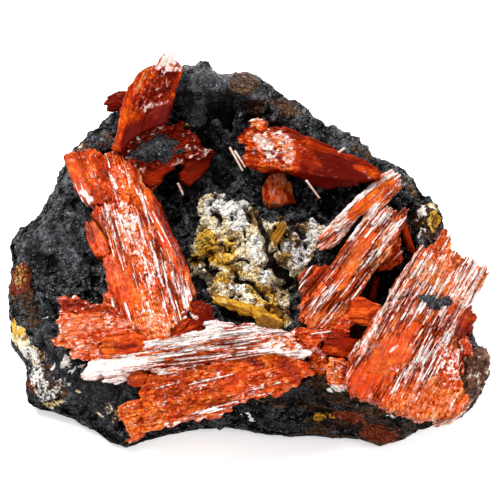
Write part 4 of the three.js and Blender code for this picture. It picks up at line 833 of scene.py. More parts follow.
def rock_material(name):
    mat = bpy.data.materials.new(name)
    nt, bsdf = nodes_of(mat)
    pos = position_mm(nt)
    a = separate(nt, attribute(nt, "stain"))     # cream, ochre, brown
    b = separate(nt, attribute(nt, "stain2"))    # white, red-brown, grey
    c = separate(nt, attribute(nt, "relief"))    # how far the place stands out, spongy boxwork, its walls
    wall = separate(nt, attribute(nt, "wall"))[0]    # steep sides: painted shade (darker) and duller
    n1 = noise(nt, pos, 0.5, 4.0, 0.6)
    n2 = noise(nt, pos, 2.6, 4.0, 0.65)
    n3 = noise(nt, pos, 7.0, 3.0, 0.6)
    band = noise(nt, scaled(nt, pos, (0.22, 0.6, 1.3)), 1.0, 5.0, 0.65)

    def mul(x, y):
        return math_node(nt, "MULTIPLY", x, y)

    def add(x, y):
        return math_node(nt, "ADD", x, y)

    # broken lumps: room to the nearest crease, and creases that fade out here and there
    pw = warped(nt, pos, 0.9, 2.2)
    fade = math_node(nt, "MAXIMUM", mul(math_node(nt, "SUBTRACT", noise(nt, pos, 0.7, 2.0, 0.5), 0.50), 2.4), 0.0)
    e1 = add(voronoi(nt, pw, 0.60, "DISTANCE_TO_EDGE")["Distance"], fade)
    e2 = add(voronoi(nt, pw, 1.45, "DISTANCE_TO_EDGE")["Distance"], mul(fade, 0.6))
    lump = add(mul(ramp(nt, e1, [(0.0, 0.0), (0.22, 1.0)]), 0.5), mul(ramp(nt, e2, [(0.0, 0.0), (0.30, 1.0)]), 0.5))
    # small pebbly knobs
    vk = voronoi(nt, warped(nt, pos, 1.6, 0.5), 1.7)
    kb = separate(nt, vk["Color"])
    dome = math_node(nt, "SUBTRACT", 0.40, vk["Distance"])
    # colour from noise, partly painted: darker in hollows (relief) and at the creases of lumps as painted shade,
    # lighter on lump and knob tops as painted highlight
    k = add(add(mul(n1, 0.26), mul(n2, 0.24)), add(mul(c[0], 0.34), mul(lump, 0.16)))
    k = add(k, add(mul(dome, 0.26), mul(math_node(nt, "SUBTRACT", kb[0], 0.5), 0.07)))
    col = ramp(nt, k, [(0.35, (0.0008, 0.0008, 0.0010)), (0.41, (0.0200, 0.0202, 0.0220)), (0.51, (0.056, 0.057, 0.062)), (0.66, (0.128, 0.131, 0.142))])
    col = mix_colour(nt, mul(b[2], 0.6), col, (0.095, 0.097, 0.106))
    # painted shade: near black in the creases, seams and pits
    black = ramp(nt, noise(nt, pos, 0.8, 3.0, 0.6), [(0.37, 1.0), (0.41, 0.0)])
    black = math_node(nt, "MAXIMUM", black, ramp(nt, e1, [(0.03, 1.0), (0.08, 0.0)]))
    black = math_node(nt, "MAXIMUM", black, ramp(nt, e2, [(0.03, 0.85), (0.10, 0.0)]))
    for scale, wide in ((0.42, 0.018), (1.1, 0.024)):
        line = math_node(nt, "ABSOLUTE", math_node(nt, "SUBTRACT", noise(nt, pos, scale, 4.0, 0.62), 0.5))
        black = math_node(nt, "MAXIMUM", black, ramp(nt, line, [(0.25 * wide, 1.0), (wide, 0.0)]))
    black = mul(black, math_node(nt, "MULTIPLY_ADD", b[2], -0.55, 1.0))
    col = mix_colour(nt, mul(black, 0.95), col, (0.0005, 0.0004, 0.0004))
    # painted highlight: light grey on the tops of some knobs
    knob = mul(math_node(nt, "GREATER_THAN", kb[1], 0.62), ramp(nt, vk["Distance"], [(0.08, 1.0), (0.26, 0.0)]))
    knob = mul(mul(knob, kb[2]), ramp(nt, n2, [(0.46, 0.0), (0.52, 1.0)]))
    col = mix_colour(nt, knob, col, (0.30, 0.31, 0.33))
    # painted glints: tiny light specks in the colour
    vo = voronoi(nt, pos, 3.6)
    g = separate(nt, vo["Color"])
    painted_glint = mul(math_node(nt, "GREATER_THAN", g[0], 0.88), math_node(nt, "LESS_THAN", vo["Distance"], 0.34))
    painted_glint = mul(painted_glint, math_node(nt, "GREATER_THAN", n1, 0.46))
    col = mix_colour(nt, mul(painted_glint, mul(g[1], 0.75)), col, (0.62, 0.63, 0.66))

    def layer(col, mask, colour, low, high, n=n2, amount=0.7):
        m = add(mask, mul(math_node(nt, "SUBTRACT", n, 0.5), amount))
        m = ramp(nt, m, [(low, 0.0), (high, 1.0)])
        return mix_colour(nt, m, col, colour)

    brown = ramp(nt, add(mul(n2, 0.5), mul(band, 0.5)), [(0.36, (0.006, 0.003, 0.002)), (0.50, (0.045, 0.019, 0.009)), (0.60, (0.15, 0.075, 0.034)), (0.70, (0.40, 0.27, 0.15))])
    red = ramp(nt, n2, [(0.3, (0.03, 0.004, 0.002)), (0.55, (0.17, 0.026, 0.010)), (0.75, (0.36, 0.10, 0.03))])
    # the ochre and cream also darken where relief is low: painted shade in hollows
    ochre = ramp(nt, add(mul(n2, 0.6), mul(c[0], 0.4)), [(0.32, (0.16, 0.060, 0.006)), (0.42, (0.70, 0.34, 0.022)), (0.56, (0.88, 0.54, 0.080)), (0.72, (0.92, 0.78, 0.40))])
    cream = ramp(nt, add(mul(n2, 0.6), mul(c[0], 0.4)), [(0.34, (0.20, 0.10, 0.035)), (0.44, (0.78, 0.58, 0.30)), (0.57, (0.95, 0.85, 0.60)), (0.70, (0.97, 0.93, 0.83))])
    white = ramp(nt, n2, [(0.28, (0.34, 0.26, 0.19)), (0.44, (0.92, 0.86, 0.78)), (0.6, (0.99, 0.97, 0.94))])
    col = layer(col, a[2], brown, 0.42, 0.54, band, 1.5)
    # painted shade: steep sides darker
    col = mix_colour(nt, mul(wall, 0.45), col, (0.004, 0.003, 0.003))
    col = layer(col, b[1], red, 0.42, 0.60, add(mul(n2, 0.5), mul(band, 0.5)), 1.6)
    col = layer(col, a[0], cream, 0.42, 0.52)
    col = layer(col, a[1], ochre, 0.42, 0.56)
    col = layer(col, b[0], white, 0.44, 0.54)
    # painted shade: near black in the gaps, crevices and pits of the boxwork
    gap = mul(c[1], ramp(nt, add(mul(c[2], 0.72), mul(n2, 0.28)), [(0.39, 1.0), (0.45, 0.0)]))
    n4 = noise(nt, pos, 1.7, 5.0, 0.75)
    speck = mul(c[1], ramp(nt, add(mul(n4, 0.75), mul(c[2], -0.12)), [(0.287, 0.0), (0.306, 1.0)]))
    gap = math_node(nt, "MAXIMUM", gap, mul(speck, 0.85))
    speck = mul(c[1], ramp(nt, noise(nt, pos, 3.1, 3.0, 0.6), [(0.63, 0.0), (0.68, 1.0)]))
    gap = math_node(nt, "MAXIMUM", gap, mul(speck, 0.8))
    e3 = add(voronoi(nt, warped(nt, pos, 1.3, 0.9), 1.5, "DISTANCE_TO_EDGE")["Distance"], mul(fade, 0.35))
    gap = math_node(nt, "MAXIMUM", gap, mul(c[1], ramp(nt, e3, [(0.015, 0.85), (0.065, 0.0)])))
    gap_shade_col = ramp(nt, n1, [(0.42, (0.003, 0.002, 0.002)), (0.62, (0.035, 0.019, 0.014))])
    col = mix_colour(nt, gap, col, gap_shade_col)
    nt.links.new(col, bsdf.inputs["Base Color"])
    pale = math_node(nt, "MAXIMUM", math_node(nt, "MAXIMUM", a[0], a[1]), b[0], clamp=True)
    rr = math_node(nt, "MULTIPLY_ADD", n3, 0.40, 0.06)
    rr = math_node(nt, "ADD", rr, mul(pale, 0.5), clamp=True)
    nt.links.new(rr, bsdf.inputs["Roughness"])
    bsdf.inputs["IOR"].default_value = 1.55
    sp = mul(ramp(nt, n2, [(0.46, 0.02), (0.56, 0.52)]), math_node(nt, "MULTIPLY_ADD", black, -0.95, 1.0))
    sp = mul(sp, math_node(nt, "MULTIPLY_ADD", wall, -0.75, 1.0))
    nt.links.new(sp, bsdf.inputs["Specular IOR Level"])
    h = add(add(mul(n3, 0.22), mul(n2, 0.7)), add(mul(vo["Distance"], -0.4), mul(lump, 0.9)))
    h = add(h, mul(dome, 0.9))
    nt.links.new(bump(nt, h, 1.0, 0.00036), bsdf.inputs["Normal"])
    return mat


# -------------------------------------------------------------- the black block
# Places on the block are given by x, by q = y sin 60 + z cos 60 and by h, the
# height towards the viewer's side, h = z sin 60 - y cos 60.
# Hollows (negative) and knolls (positive): x, y, z, radius, depth.
BUMPS = np.array([
    (-28.1, -1.6, 9.2, 1.17, -1.6),
    (-13.1, 9.9, 10.1, 1.04, -0.6),
    (-10.5, 10.5, 8.8, 2.86, -1.6),
    (4.0, 6.0, 11.3, 2.08, -1.4),
    (-3.9, 17.9, 16.7, 0.91, -0.9),
    (-6.7, -4.6, 9.6, 1.17, -0.8),
    (-4.4, 2.2, 12.1, 0.65, -0.8),
    (-5.9, 15.7, 14.7, 1.56, -0.7),
    (-5.6, 19.3, 19.8, 2.60, 0.7),
    (-1.3, 20.2, 18.8, 2.08, 0.5),
    (1.6, 21.0, 18.0, 1.56, 0.4),
    (0.0, 17.2, 16.8, 1.30, 0.4),
    (-6.5, 17.8, 18.2, 1.30, 0.4),
    (-24.8, 7.3, 10.5, 2.08, 0.5),
    (-26.7, 2.4, 9.7, 1.82, 0.5),
    (-22.0, -2.2, 11.3, 2.08, 0.4),
    (-24.6, -5.5, 10.4, 1.56, 0.3),
    (-5.2, -3.8, 11.4, 0.78, 0.9),
    (5.3, -3.8, 10.3, 0.91, 0.9),
    (-0.9, -4.1, 12.7, 0.65, -0.6),
    (7.1, -2.1, 12.0, 1.30, 0.6),
    (-5.2, 5.7, 11.9, 1.82, 0.4),
    (-9.1, 3.8, 8.7, 2.60, -0.5),
    (-2.6, 12.3, 12.2, 2.34, -0.8),
    (-16.7, -20.5, 8.3, 2.08, -1.8),
    (19.5, 3.1, 11.1, 1.56, -1.2),
    (17.6, -3.6, 7.2, 1.82, -1.2),
    (13.0, 12.4, 14.6, 2.34, 0.5),
    (19.5, 7.7, 13.6, 1.56, 0.5),
    (23.7, 4.5, 12.1, 1.82, 0.7),
    (23.4, 1.6, 11.2, 1.04, 0.5),
    (-29.0, -16.9, 6.3, 0.65, 0.7),
    (7.0, -18.3, 10.0, 0.65, -0.8),
    (3.9, -9.7, 11.4, 1.56, 0.4),
    (-24.7, 0.5, 10.9, 0.52, -0.8),
    (-25.3, 1.3, 10.9, 0.52, -0.7),
    (-23.9, -0.2, 10.9, 0.52, -0.7),
    (-21.3, -1.5, 11.1, 0.52, -0.9),
    (-20.2, -2.1, 11.1, 0.52, -1.0),
    (-19.2, -2.7, 11.0, 0.65, -1.0),
    (-22.7, 6.6, 10.8, 1.04, -1.0),
    (-23.5, 3.9, 10.6, 0.39, -0.4),
    (-26.6, 4.2, 10.0, 0.39, -0.4),
    (-21.1, 1.5, 11.0, 0.52, -0.6),
    (-25.7, -1.6, 9.7, 0.52, -0.7),
    (10.2, -22.8, 11.3, 3.90, 0.5),
    (16.5, -25.4, 10.7, 2.08, 0.4),
    (21.6, -26.5, 9.5, 1.30, 0.3),
    (0.0, -25.1, 8.8, 1.82, 0.5),
    (-24.4, -21.2, 5.6, 1.82, 0.6),
    (-20.5, -23.3, 5.4, 1.56, 0.5),
])
# Stains: kind, x, q, h, half sizes along x and q, turn in degrees, strength.
STAINS = [
    (5, -5.9, 25.2, 6.8, 2.86, 4.42, 10, 0.9),
    (5, -4.6, 22.3, 3.8, 2.08, 2.08, 0, 0.7),
    (2, -1.0, 26.7, 6.6, 2.34, 2.08, 0, 0.95),
    (0, -0.8, 27.5, 5.3, 1.17, 0.39, 0, 0.35),
    (1, -1.0, 25.6, 7.4, 0.91, 0.39, 0, 0.35),
    (2, 4.6, 23.9, 6.6, 2.34, 1.56, -35, 0.7),
    (2, 0.8, 23.5, 6.5, 1.56, 1.30, 0, 0.7),
    (2, 10.2, -12.2, 20.1, 3.90, 1.04, 0, 0.7),
    (2, 6.4, -12.1, 18.7, 2.08, 0.78, 10, 0.6),
    (1, 10.3, -16.8, 15.8, 1.56, 0.52, -8, 0.8),
    (4, 15.7, -17.9, 15.7, 2.60, 0.65, 0, 0.6),
    (0, -29.5, -6.6, 12.3, 1.82, 1.82, 0, 0.66),
    (0, -30.5, -5.9, 12.2, 1.04, 1.30, 0, 0.75),
    (0, -27.8, -8.4, 12.8, 1.43, 1.82, 0, 0.52),
    (1, -30.1, -5.1, 11.8, 1.56, 0.65, 0, 0.9),
    (0, -25.6, -14.9, 12.6, 1.82, 0.65, -15, 0.52),
    (0, -21.9, -12.8, 14.9, 0.65, 0.78, 0, 0.8),
    (0, -17.8, -15.8, 15.0, 1.17, 1.30, 0, 0.45),
    (0, -19.8, -16.1, 14.4, 0.52, 0.39, 0, 0.6),
    (3, -24.0, -9.4, 14.2, 0.65, 0.91, 0, 0.7),
    (3, -25.0, -10.2, 13.4, 0.39, 1.17, 0, 0.6),
    (3, -21.3, -9.9, 17.9, 0.65, 0.78, 0, 0.6),
    (3, -28.8, -8.4, 12.9, 1.56, 1.56, 0, 0.54),
    (3, -27.3, -11.0, 13.4, 1.69, 2.60, 0, 0.51),
    (3, -26.3, -13.6, 14.3, 2.08, 1.30, 0, 0.5),
    (3, -22.9, -10.2, 14.9, 0.39, 1.04, -30, 0.75),
    (3, -24.5, -12.4, 13.4, 1.82, 1.30, 0, 0.42),
    (2, -26.3, -12.4, 13.6, 2.86, 3.38, 0, 0.62),
    (5, -25.2, -10.7, 13.4, 3.38, 3.90, 0, 0.8),
    (0, -24.5, -1.5, 12.7, 1.30, 0.52, 0, 0.3),
    (3, -26.1, -3.8, 12.3, 1.17, 0.52, 0, 0.45),
    (5, -26.3, -6.6, 13.5, 1.17, 4.68, 0, 0.6),
    (0, 23.8, 10.6, 7.9, 1.04, 0.52, -25, 0.8),
    (0, 24.2, 6.6, 8.8, 0.65, 0.52, 0, 0.4),
    (0, -22.0, 18.4, 3.2, 0.65, 0.52, 0, 0.6),
    (1, 23.9, 8.9, 8.3, 1.04, 1.43, 0, 0.7),
    (0, 23.8, 9.0, 8.3, 0.65, 0.91, 0, 0.35),
    (1, 24.2, 7.3, 8.7, 0.65, 0.52, 0, 0.4),
    (3, 22.6, 10.3, 8.1, 0.39, 1.17, 20, 0.75),
    (3, 22.2, 9.2, 8.2, 0.65, 0.39, 0, 0.6),
    (3, 22.7, 7.3, 8.7, 0.78, 0.33, -20, 0.6),
    (3, 22.0, 6.7, 8.7, 0.65, 0.26, 30, 0.6),
    (2, 23.1, 8.9, 8.5, 2.86, 3.12, 0, 0.7),
    (1, -5.7, 5.8, 11.0, 1.69, 2.60, 20, 1.25),
    (1, -2.8, 4.7, 11.8, 1.17, 1.56, 0, 0.9),
    (1, -7.3, 4.0, 8.2, 0.91, 1.30, 0, 0.8),
    (1, -3.6, 3.2, 13.1, 1.82, 0.91, 0, 1.0),
    (1, -3.4, 1.1, 13.5, 1.30, 0.91, 20, 1.2),
    (1, -3.6, 1.1, 13.4, 1.04, 0.78, 20, 0.9),
    (1, -1.3, 2.2, 13.3, 1.82, 0.78, -20, 0.55),
    (1, 1.5, -0.7, 13.9, 2.60, 1.56, -25, 1.0),
    (1, 3.3, -3.0, 15.0, 2.08, 1.30, -30, 1.0),
    (0, 4.6, -2.2, 14.2, 0.78, 1.56, 10, 0.9),
    (1, 3.4, 8.1, 11.1, 0.65, 1.17, 0, 0.85),
    (1, 4.4, 7.3, 11.7, 0.65, 0.78, 0, 0.5),
    (1, 4.4, 4.5, 12.3, 0.91, 0.78, 0, 0.55),
    (4, -29.9, 1.4, 9.0, 1.69, 3.12, 0, 0.85),
    (1, -30.0, 2.1, 8.7, 1.43, 2.34, 0, 0.43),
    (0, -30.6, -1.5, 10.3, 0.52, 1.82, 0, 0.4),
    (1, 9.3, -16.7, 15.9, 0.91, 0.78, 0, 0.95),
    (4, 12.6, -16.6, 16.6, 2.86, 0.91, -5, 1.2),
    (4, 16.5, -18.8, 14.9, 3.38, 0.91, 0, 0.8),
    (1, -8.4, 21.2, 6.2, 1.56, 0.39, 0, 0.5),
    (2, -29.9, 0.5, 9.6, 2.08, 3.90, 0, 0.7),
    (2, -28.0, -3.8, 11.3, 1.82, 2.60, 0, 0.5),
    (2, -27.7, -12.3, 13.8, 1.04, 1.56, 0, 0.6),
    (2, 5.2, 23.3, 6.7, 2.08, 1.30, -35, 0.6),
    (2, 14.3, 18.0, 6.7, 2.86, 1.04, -30, 0.5),
    (2, 20.8, 12.8, 8.0, 1.82, 1.04, -35, 0.5),
    (2, -19.7, 19.4, 3.2, 2.34, 1.04, 35, 0.5),
    (2, -22.0, 18.4, 3.2, 1.56, 1.04, 0, 0.6),
    (2, -9.1, 20.9, 5.7, 1.56, 0.78, 0, 0.7),
    (2, 12.1, -13.9, 21.2, 5.20, 0.91, -6, 0.75),
    (2, 12.9, -17.4, 15.2, 5.20, 0.78, 0, 0.65),
    (2, -15.2, -19.2, 14.3, 1.04, 0.65, 0, 0.7),
    (2, -25.5, 19.8, -11.4, 1.82, 1.30, 0, 0.5),
    (2, 19.3, -19.0, 13.5, 2.86, 1.04, 10, 0.7),
    (2, 2.3, -7.2, 17.9, 3.90, 1.04, -10, 0.6),
    (2, 29.6, -10.4, 15.4, 1.82, 3.12, 0, 0.7),
    (2, -0.5, -4.0, 15.7, 2.08, 0.78, 0, 0.7),
    (3, 7.5, 6.0, 10.5, 1.17, 1.17, 0, 0.7),
    (0, 6.2, 3.4, 11.5, 1.04, 0.78, 0, 0.5),
    (2, -3.4, -0.2, 13.8, 1.82, 0.65, -15, 0.8),
    (2, 0.7, 23.0, 6.2, 1.04, 1.56, 0, 0.6),
    (3, -3.1, 10.6, 7.9, 3.38, 1.69, 0, 0.9),
    (3, -1.3, 8.6, 9.4, 2.08, 1.56, 0, 0.6),
    (3, 0.8, 5.0, 12.1, 0.78, 2.34, 0, 0.6),
    (3, 1.8, 2.4, 13.0, 0.91, 1.30, 0, 0.7),
    (3, 6.7, 4.2, 11.4, 1.82, 1.30, 0, 1.0),
    (3, 4.9, 5.8, 12.1, 1.30, 0.78, 0, 0.7),
    (3, 8.8, 6.8, 10.2, 1.17, 1.04, 0, 0.7),
    (3, 8.6, 8.1, 9.7, 1.30, 0.78, 0, 0.55),
    (3, 6.5, 7.3, 10.9, 0.91, 0.91, 0, 0.5),
    (3, -1.8, 0.4, 13.8, 1.17, 0.65, 0, 0.6),
    (3, 11.5, -12.7, 20.7, 1.82, 0.52, 0, 1.1),
    (3, -0.3, -16.5, 14.9, 0.65, 0.39, 0, 0.75),
    (3, 18.2, -16.5, 18.6, 1.04, 0.65, -20, 0.6),
    (3, -6.2, 2.2, 11.8, 0.91, 0.78, 0, 0.5),
    (4, -28.1, -12.4, 14.0, 0.52, 1.82, 10, 0.9),
    (4, 13.6, -5.6, 14.8, 1.43, 1.30, 0, 1.3),
    (4, 8.7, -10.6, 19.6, 1.04, 1.04, 0, 1.0),
    (4, 12.2, -16.4, 16.9, 1.82, 0.52, -5, 0.75),
    (4, -12.9, -18.2, 14.2, 2.60, 0.52, 0, 0.5),
    (4, 17.4, -19.5, 14.0, 1.82, 0.65, 0, 0.7),
    (4, -28.6, -11.5, 13.8, 0.52, 1.04, 0, 0.6),
    (4, 4.4, 6.8, 11.9, 0.52, 0.78, 0, 0.6),
    (5, -4.6, 16.1, 3.8, 7.80, 4.42, 0, 0.35),
    (5, -3.3, 26.5, 7.3, 6.76, 3.38, 0, 0.85),
    (5, -7.2, 23.9, 7.9, 2.08, 3.90, 0, 0.9),
    (5, -24.7, 7.0, 8.6, 6.24, 6.76, 0, 0.55),
    (5, -19.9, -13.6, 15.6, 5.72, 3.12, 0, 0.85),
    (5, -13.1, 24.6, 4.3, 2.60, 3.90, 0, 0.4),
    (5, -2.6, 18.1, 5.2, 5.20, 3.90, 0, 0.4),
    (5, 4.8, -13.1, 20.4, 3.12, 1.04, 15, 0.8),
    (5, 6.4, -17.4, 14.4, 5.20, 0.78, 0, 0.6),
    (5, 11.7, 18.1, 6.1, 6.50, 2.08, -30, 0.3),
    (5, -0.5, -0.4, 14.1, 1.04, 1.04, 0, 0.9),
    (5, -4.8, 2.4, 12.0, 1.04, 1.17, 0, 0.8),
    (5, 4.5, 1.9, 10.8, 1.17, 1.04, 0, 0.8),
]
FILL = 0.52              # how much of the boxwork is wall
# Clefts through the boxwork: from x, q to x, q, and half width.
RAVINES = [
    (1.04, 9.94, 1.68, 7.33, 0.34),
    (1.68, 7.33, 2.33, 4.74, 0.34),
    (2.33, 4.74, 3.36, 2.15, 0.42),
    (3.36, 2.15, 5.18, 1.11, 0.55),
    (4.68, 9.68, 5.96, 7.85, 0.46),
    (5.96, 7.85, 7.26, 6.81, 0.39),
    (-0.52, 10.72, 0.26, 9.42, 0.29),
    (-4.81, 9.68, -4.03, 8.38, 0.31),
    (-3.61, 2.94, -1.29, 3.97, 0.18),
    (-1.29, 3.97, 0.00, 3.45, 0.31),
    (-5.96, 3.44, -4.91, 1.64, 0.44),
    (0.00, 0.62, 2.32, -1.44, 0.29),
    (-1.81, 1.39, 0.26, 0.62, 0.29),
    (3.37, 8.37, 3.88, 5.52, 0.21),
]
# Outline of the pale boxwork patch in x, q.
BOXWORK = np.array([
    (-6.9, 12.6), (-5.7, 12.1), (-3.4, 11.9), (-1.6, 11.8), (-0.4, 10.9), (1.0, 10.6),
    (1.8, 9.4), (2.6, 9.3), (4.4, 9.4), (6.0, 8.4), (7.3, 8.8), (9.9, 8.9),
    (10.4, 7.9), (9.1, 5.8), (8.7, 3.4), (7.0, 2.2), (6.5, 0.9), (4.9, 0.1),
    (5.4, -1.5), (5.5, -4.3), (4.4, -5.3), (2.3, -3.7), (0.0, -3.0), (-2.3, -2.2),
    (-4.9, -1.4), (-5.7, -0.2), (-6.5, 1.1), (-8.2, 2.4), (-8.6, 4.2), (-7.6, 5.8),
    (-6.9, 8.1),
])


def shepard(x, y, pts):
    out = np.empty(len(x))
    for i in range(0, len(x), 8192):
        d2 = (x[i:i + 8192, None] - pts[None, :, 0]) ** 2 + (y[i:i + 8192, None] - pts[None, :, 1]) ** 2
        w = 1 / (d2 + 0.6) ** 1.9
        out[i:i + 8192] = (w * pts[None, :, 2]).sum(1) / w.sum(1)
    return out


def around(points, phi):
    r = points[:, :2] - CENTRE
    a = np.arctan2(r[:, 1], r[:, 0])
    o = np.argsort(a)
    a, rad, z = a[o], np.hypot(r[o, 0], r[o, 1]), points[o, 2]
    a = np.concatenate([a - 2 * np.pi, a, a + 2 * np.pi])
    return np.interp(phi, a, np.tile(rad, 3)), np.interp(phi, a, np.tile(z, 3))


def vertex_normals(V, Q):
    fn = np.cross(V[Q[:, 2]] - V[Q[:, 0]], V[Q[:, 3]] - V[Q[:, 1]])
    out = np.zeros_like(V)
    for k in range(4):
        for c in range(3):
            out[:, c] += np.bincount(Q[:, k], fn[:, c], len(V))
    return out / (np.linalg.norm(out, axis=1)[:, None] + 1e-12)


def polygon_depth(px, py, poly):
    """Signed distance to a polygon's edge, positive inside."""
    inside = np.zeros(len(px), bool)
    dist = np.full(len(px), 1e9)
    n = len(poly)
    for i in range(n):
        x0, y0 = poly[i]
        x1, y1 = poly[(i + 1) % n]
        ex, ey = x1 - x0, y1 - y0
        t = np.clip(((px - x0) * ex + (py - y0) * ey) / (ex * ex + ey * ey), 0, 1)
        dist = np.minimum(dist, np.hypot(px - x0 - t * ex, py - y0 - t * ey))
        cross = ((y0 > py) != (y1 > py)) & (px < (x1 - x0) * (py - y0) / (y1 - y0 + 1e-12) + x0)
        inside ^= cross
    return np.where(inside, dist, -dist)


def build_rock(material):
    n = 252
    rows = 28
    g = np.linspace(-1, 1, n + 1)
    a, b = np.meshgrid(g, g, indexing="ij")
    a, b = a.ravel(), b.ravel()
    big = np.abs(a) > np.abs(b)
    r = np.where(big, a, b)
    with np.errstate(divide="ignore", invalid="ignore"):
        ph = np.where(big, (np.pi / 4) * (b / np.where(a == 0, 1, a)), (np.pi / 2) - (np.pi / 4) * (a / np.where(b == 0, 1, b)))
    ph = np.where((a == 0) & (b == 0), 0, ph)
    ux, uy = r * np.cos(ph), r * np.sin(ph)
    rr, phi = np.hypot(ux, uy), np.arctan2(uy, ux)
    R1, Z1 = around(SHOULDER, phi)
    x = CENTRE[0] + R1 * ux
    y = CENTRE[1] + R1 * uy
    z = shepard(x, y, np.vstack([TOP, SHOULDER]))
    k = smooth(rr, 0.93, 1.0)
    z = z * (1 - k) + Z1 * k
    V = np.stack([x, y, z], 1)
    idx = np.arange((n + 1) ** 2).reshape(n + 1, n + 1)
    Q = np.stack([idx[:-1, :-1], idx[1:, :-1], idx[1:, 1:], idx[:-1, 1:]], -1).reshape(-1, 4)
    uv = np.stack([0.5 + 0.40 * ux, 0.5 + 0.40 * uy], 1)
    # the edge of the top, in order, then rows down the side
    loop = np.concatenate([idx[:-1, 0], idx[-1, :-1], idx[::-1, -1][:-1], idx[0, ::-1][:-1]])
    lp = phi[loop]
    R0, Z0 = around(OUTLINE, lp)
    R1, Z1 = around(SHOULDER, lp)
    inset = 0.5 + 0.16 * Z0
    prof = [(R1, Z1), (0.38 * R0 + 0.62 * R1 + 0.35, 0.45 * Z0 + 0.55 * Z1), (R0 - 0.1, Z0),
            (R0 - 0.45 * inset * np.where(Z0 > 4, 1, 0.6), 0.45 * Z0), (R0 - inset, 0 * Z0)]
    seg = [np.hypot(prof[i + 1][0] - prof[i][0], prof[i + 1][1] - prof[i][1]) for i in range(4)]
    cum = np.cumsum([0 * R0] + seg, 0)
    m = len(loop)
    side, suv = [], []
    for j in range(1, rows + 1):
        s = cum[-1] * j / rows
        rad, zz = R0 * 0, R0 * 0
        for i in range(4):
            f = np.clip((s - cum[i]) / (seg[i] + 1e-9), 0, 1)
            inn = (s >= cum[i]) & ((s < cum[i + 1]) | (i == 3))
            rad = np.where(inn, prof[i][0] * (1 - f) + prof[i + 1][0] * f, rad)
            zz = np.where(inn, prof[i][1] * (1 - f) + prof[i + 1][1] * f, zz)
        side.append(np.stack([CENTRE[0] + rad * np.cos(lp), CENTRE[1] + rad * np.sin(lp), zz], 1))
        w = 0.40 + 0.088 * j / rows
        suv.append(np.stack([0.5 + w * np.cos(lp), 0.5 + w * np.sin(lp)], 1))
    base = len(V)
    V = np.vstack([V] + side)
    uv = np.vstack([uv] + suv)
    ringid = [loop] + [base + j * m + np.arange(m) for j in range(rows)]
    for j in range(rows):
        p, q = ringid[j], ringid[j + 1]
        Q = np.vstack([Q, np.stack([p, q, np.roll(q, -1), np.roll(p, -1)], 1)])
    last = ringid[-1]
    V = np.vstack([V, [[CENTRE[0], CENTRE[1], 0.0]]])
    uv = np.vstack([uv, [[0.93, 0.93]]])
    c = len(V) - 1
    T = np.stack([np.roll(last, -1), last, np.full(m, c)], 1)
    floor_keep = smooth(V[:, 2], 0.05, 1.4)

    # shape: broad hollows and knolls, then knobs and grains, along the normals
    q = V[:, 1] * SIN + V[:, 2] * COS
    h = V[:, 2] * SIN - V[:, 1] * COS
    warp = np.stack([value_noise(V * 0.5, 91), value_noise(V * 0.5, 92)], 1)
    boxd = polygon_depth(V[:, 0] + 0.7 * warp[:, 0], q + 0.7 * warp[:, 1], BOXWORK)
    boxm = smooth(boxd, -0.4, 0.5)
    boxm = boxm * (V[:, 2] > 7)
    N = vertex_normals(V, Q)
    N[:, 2] = np.where(np.arange(len(V)) == c, -1, N[:, 2])
    d = np.zeros(len(V))
    for bx, by, bz, br, bd in BUMPS:
        e = np.sqrt(((V - [bx, by, bz]) ** 2).sum(1))
        d += bd * np.exp(-(e / br) ** 3)
    d += 0.50 * fractal(V * 0.22, 3, 11)
    V = V + N * (d * floor_keep)[:, None]
    N = vertex_normals(V, Q)
    wv = V + 0.5 * np.stack([value_noise(V * 1.1, 96), value_noise(V * 1.1, 97), value_noise(V * 1.1, 98)], 1)
    b1, v1, s1 = cells(wv * 0.50, 40)
    b2, v2, s2 = cells(wv * 1.15, 50)
    b3, v3, s3 = cells(wv * 2.5, 60)
    flow = 0.5 - np.abs(fractal(wv * 0.34 + 1.7, 3, 77, 0.5)) * 1.8
    rock = 0.80 * (0.55 - b1) * (0.25 + v1) + 0.62 * (0.45 - b2) * (0.2 + v2) + 0.30 * (0.45 - b3) * (0.3 + v3) + 0.22 * fractal(V * 1.3, 4, 71) - 0.35 * np.clip(0.22 - (s2 - b2), 0, 1) + 0.55 * flow
    # layered front wall
    lay = smooth(-V[:, 1] + 2 * value_noise(V * 0.25, 95), 12.5, 15.5) * smooth(V[:, 0] + 5 * value_noise(V * 0.2, 99), -7.0, 8.0)
    rock = rock * (1 - 0.6 * lay) + lay * 0.55 * fractal(V * np.array([0.16, 0.7, 1.5]) + 4.0, 4, 76)
    # boxwork: crooked thin walls round crooked gaps
    wb = V + 0.9 * np.stack([value_noise(V * 0.9, 86), value_noise(V * 0.9, 87), value_noise(V * 0.9, 88)], 1)
    ridge = 1 - 2.1 * np.abs(fractal(wb * 0.62 + 3.3, 4, 73, 0.6))
    solid = smooth(ridge + FILL, -0.35, 0.35)
    for x0, q0, x1, q1, r in RAVINES:
        e = capsule(V[:, 0] + 0.6 * warp[:, 0], V[:, 1] * SIN + V[:, 2] * COS + 0.6 * warp[:, 1], x0, q0, x1, q1) / r
        solid = solid * smooth(e, 0.6, 1.4)
    spongy = -1.05 * (1 - solid) + 0.28 * ridge + 0.16 * fractal(V * 2.6, 3, 74)
    calm = np.ones(len(V))
    calm[:len(rr)] = 1 - 0.5 * smooth(rr, 0.84, 1.0)
    calm[len(rr):] = 0.5
    d = rock * calm * (1 - boxm) + spongy * boxm
    V = V + N * (d * floor_keep)[:, None]
    V[:, 2] = np.where(floor_keep <= 0, np.clip(V[:, 2], 0, 0.05), np.maximum(V[:, 2], 0.02))
    V[np.append(last, c), 2] = 0.0

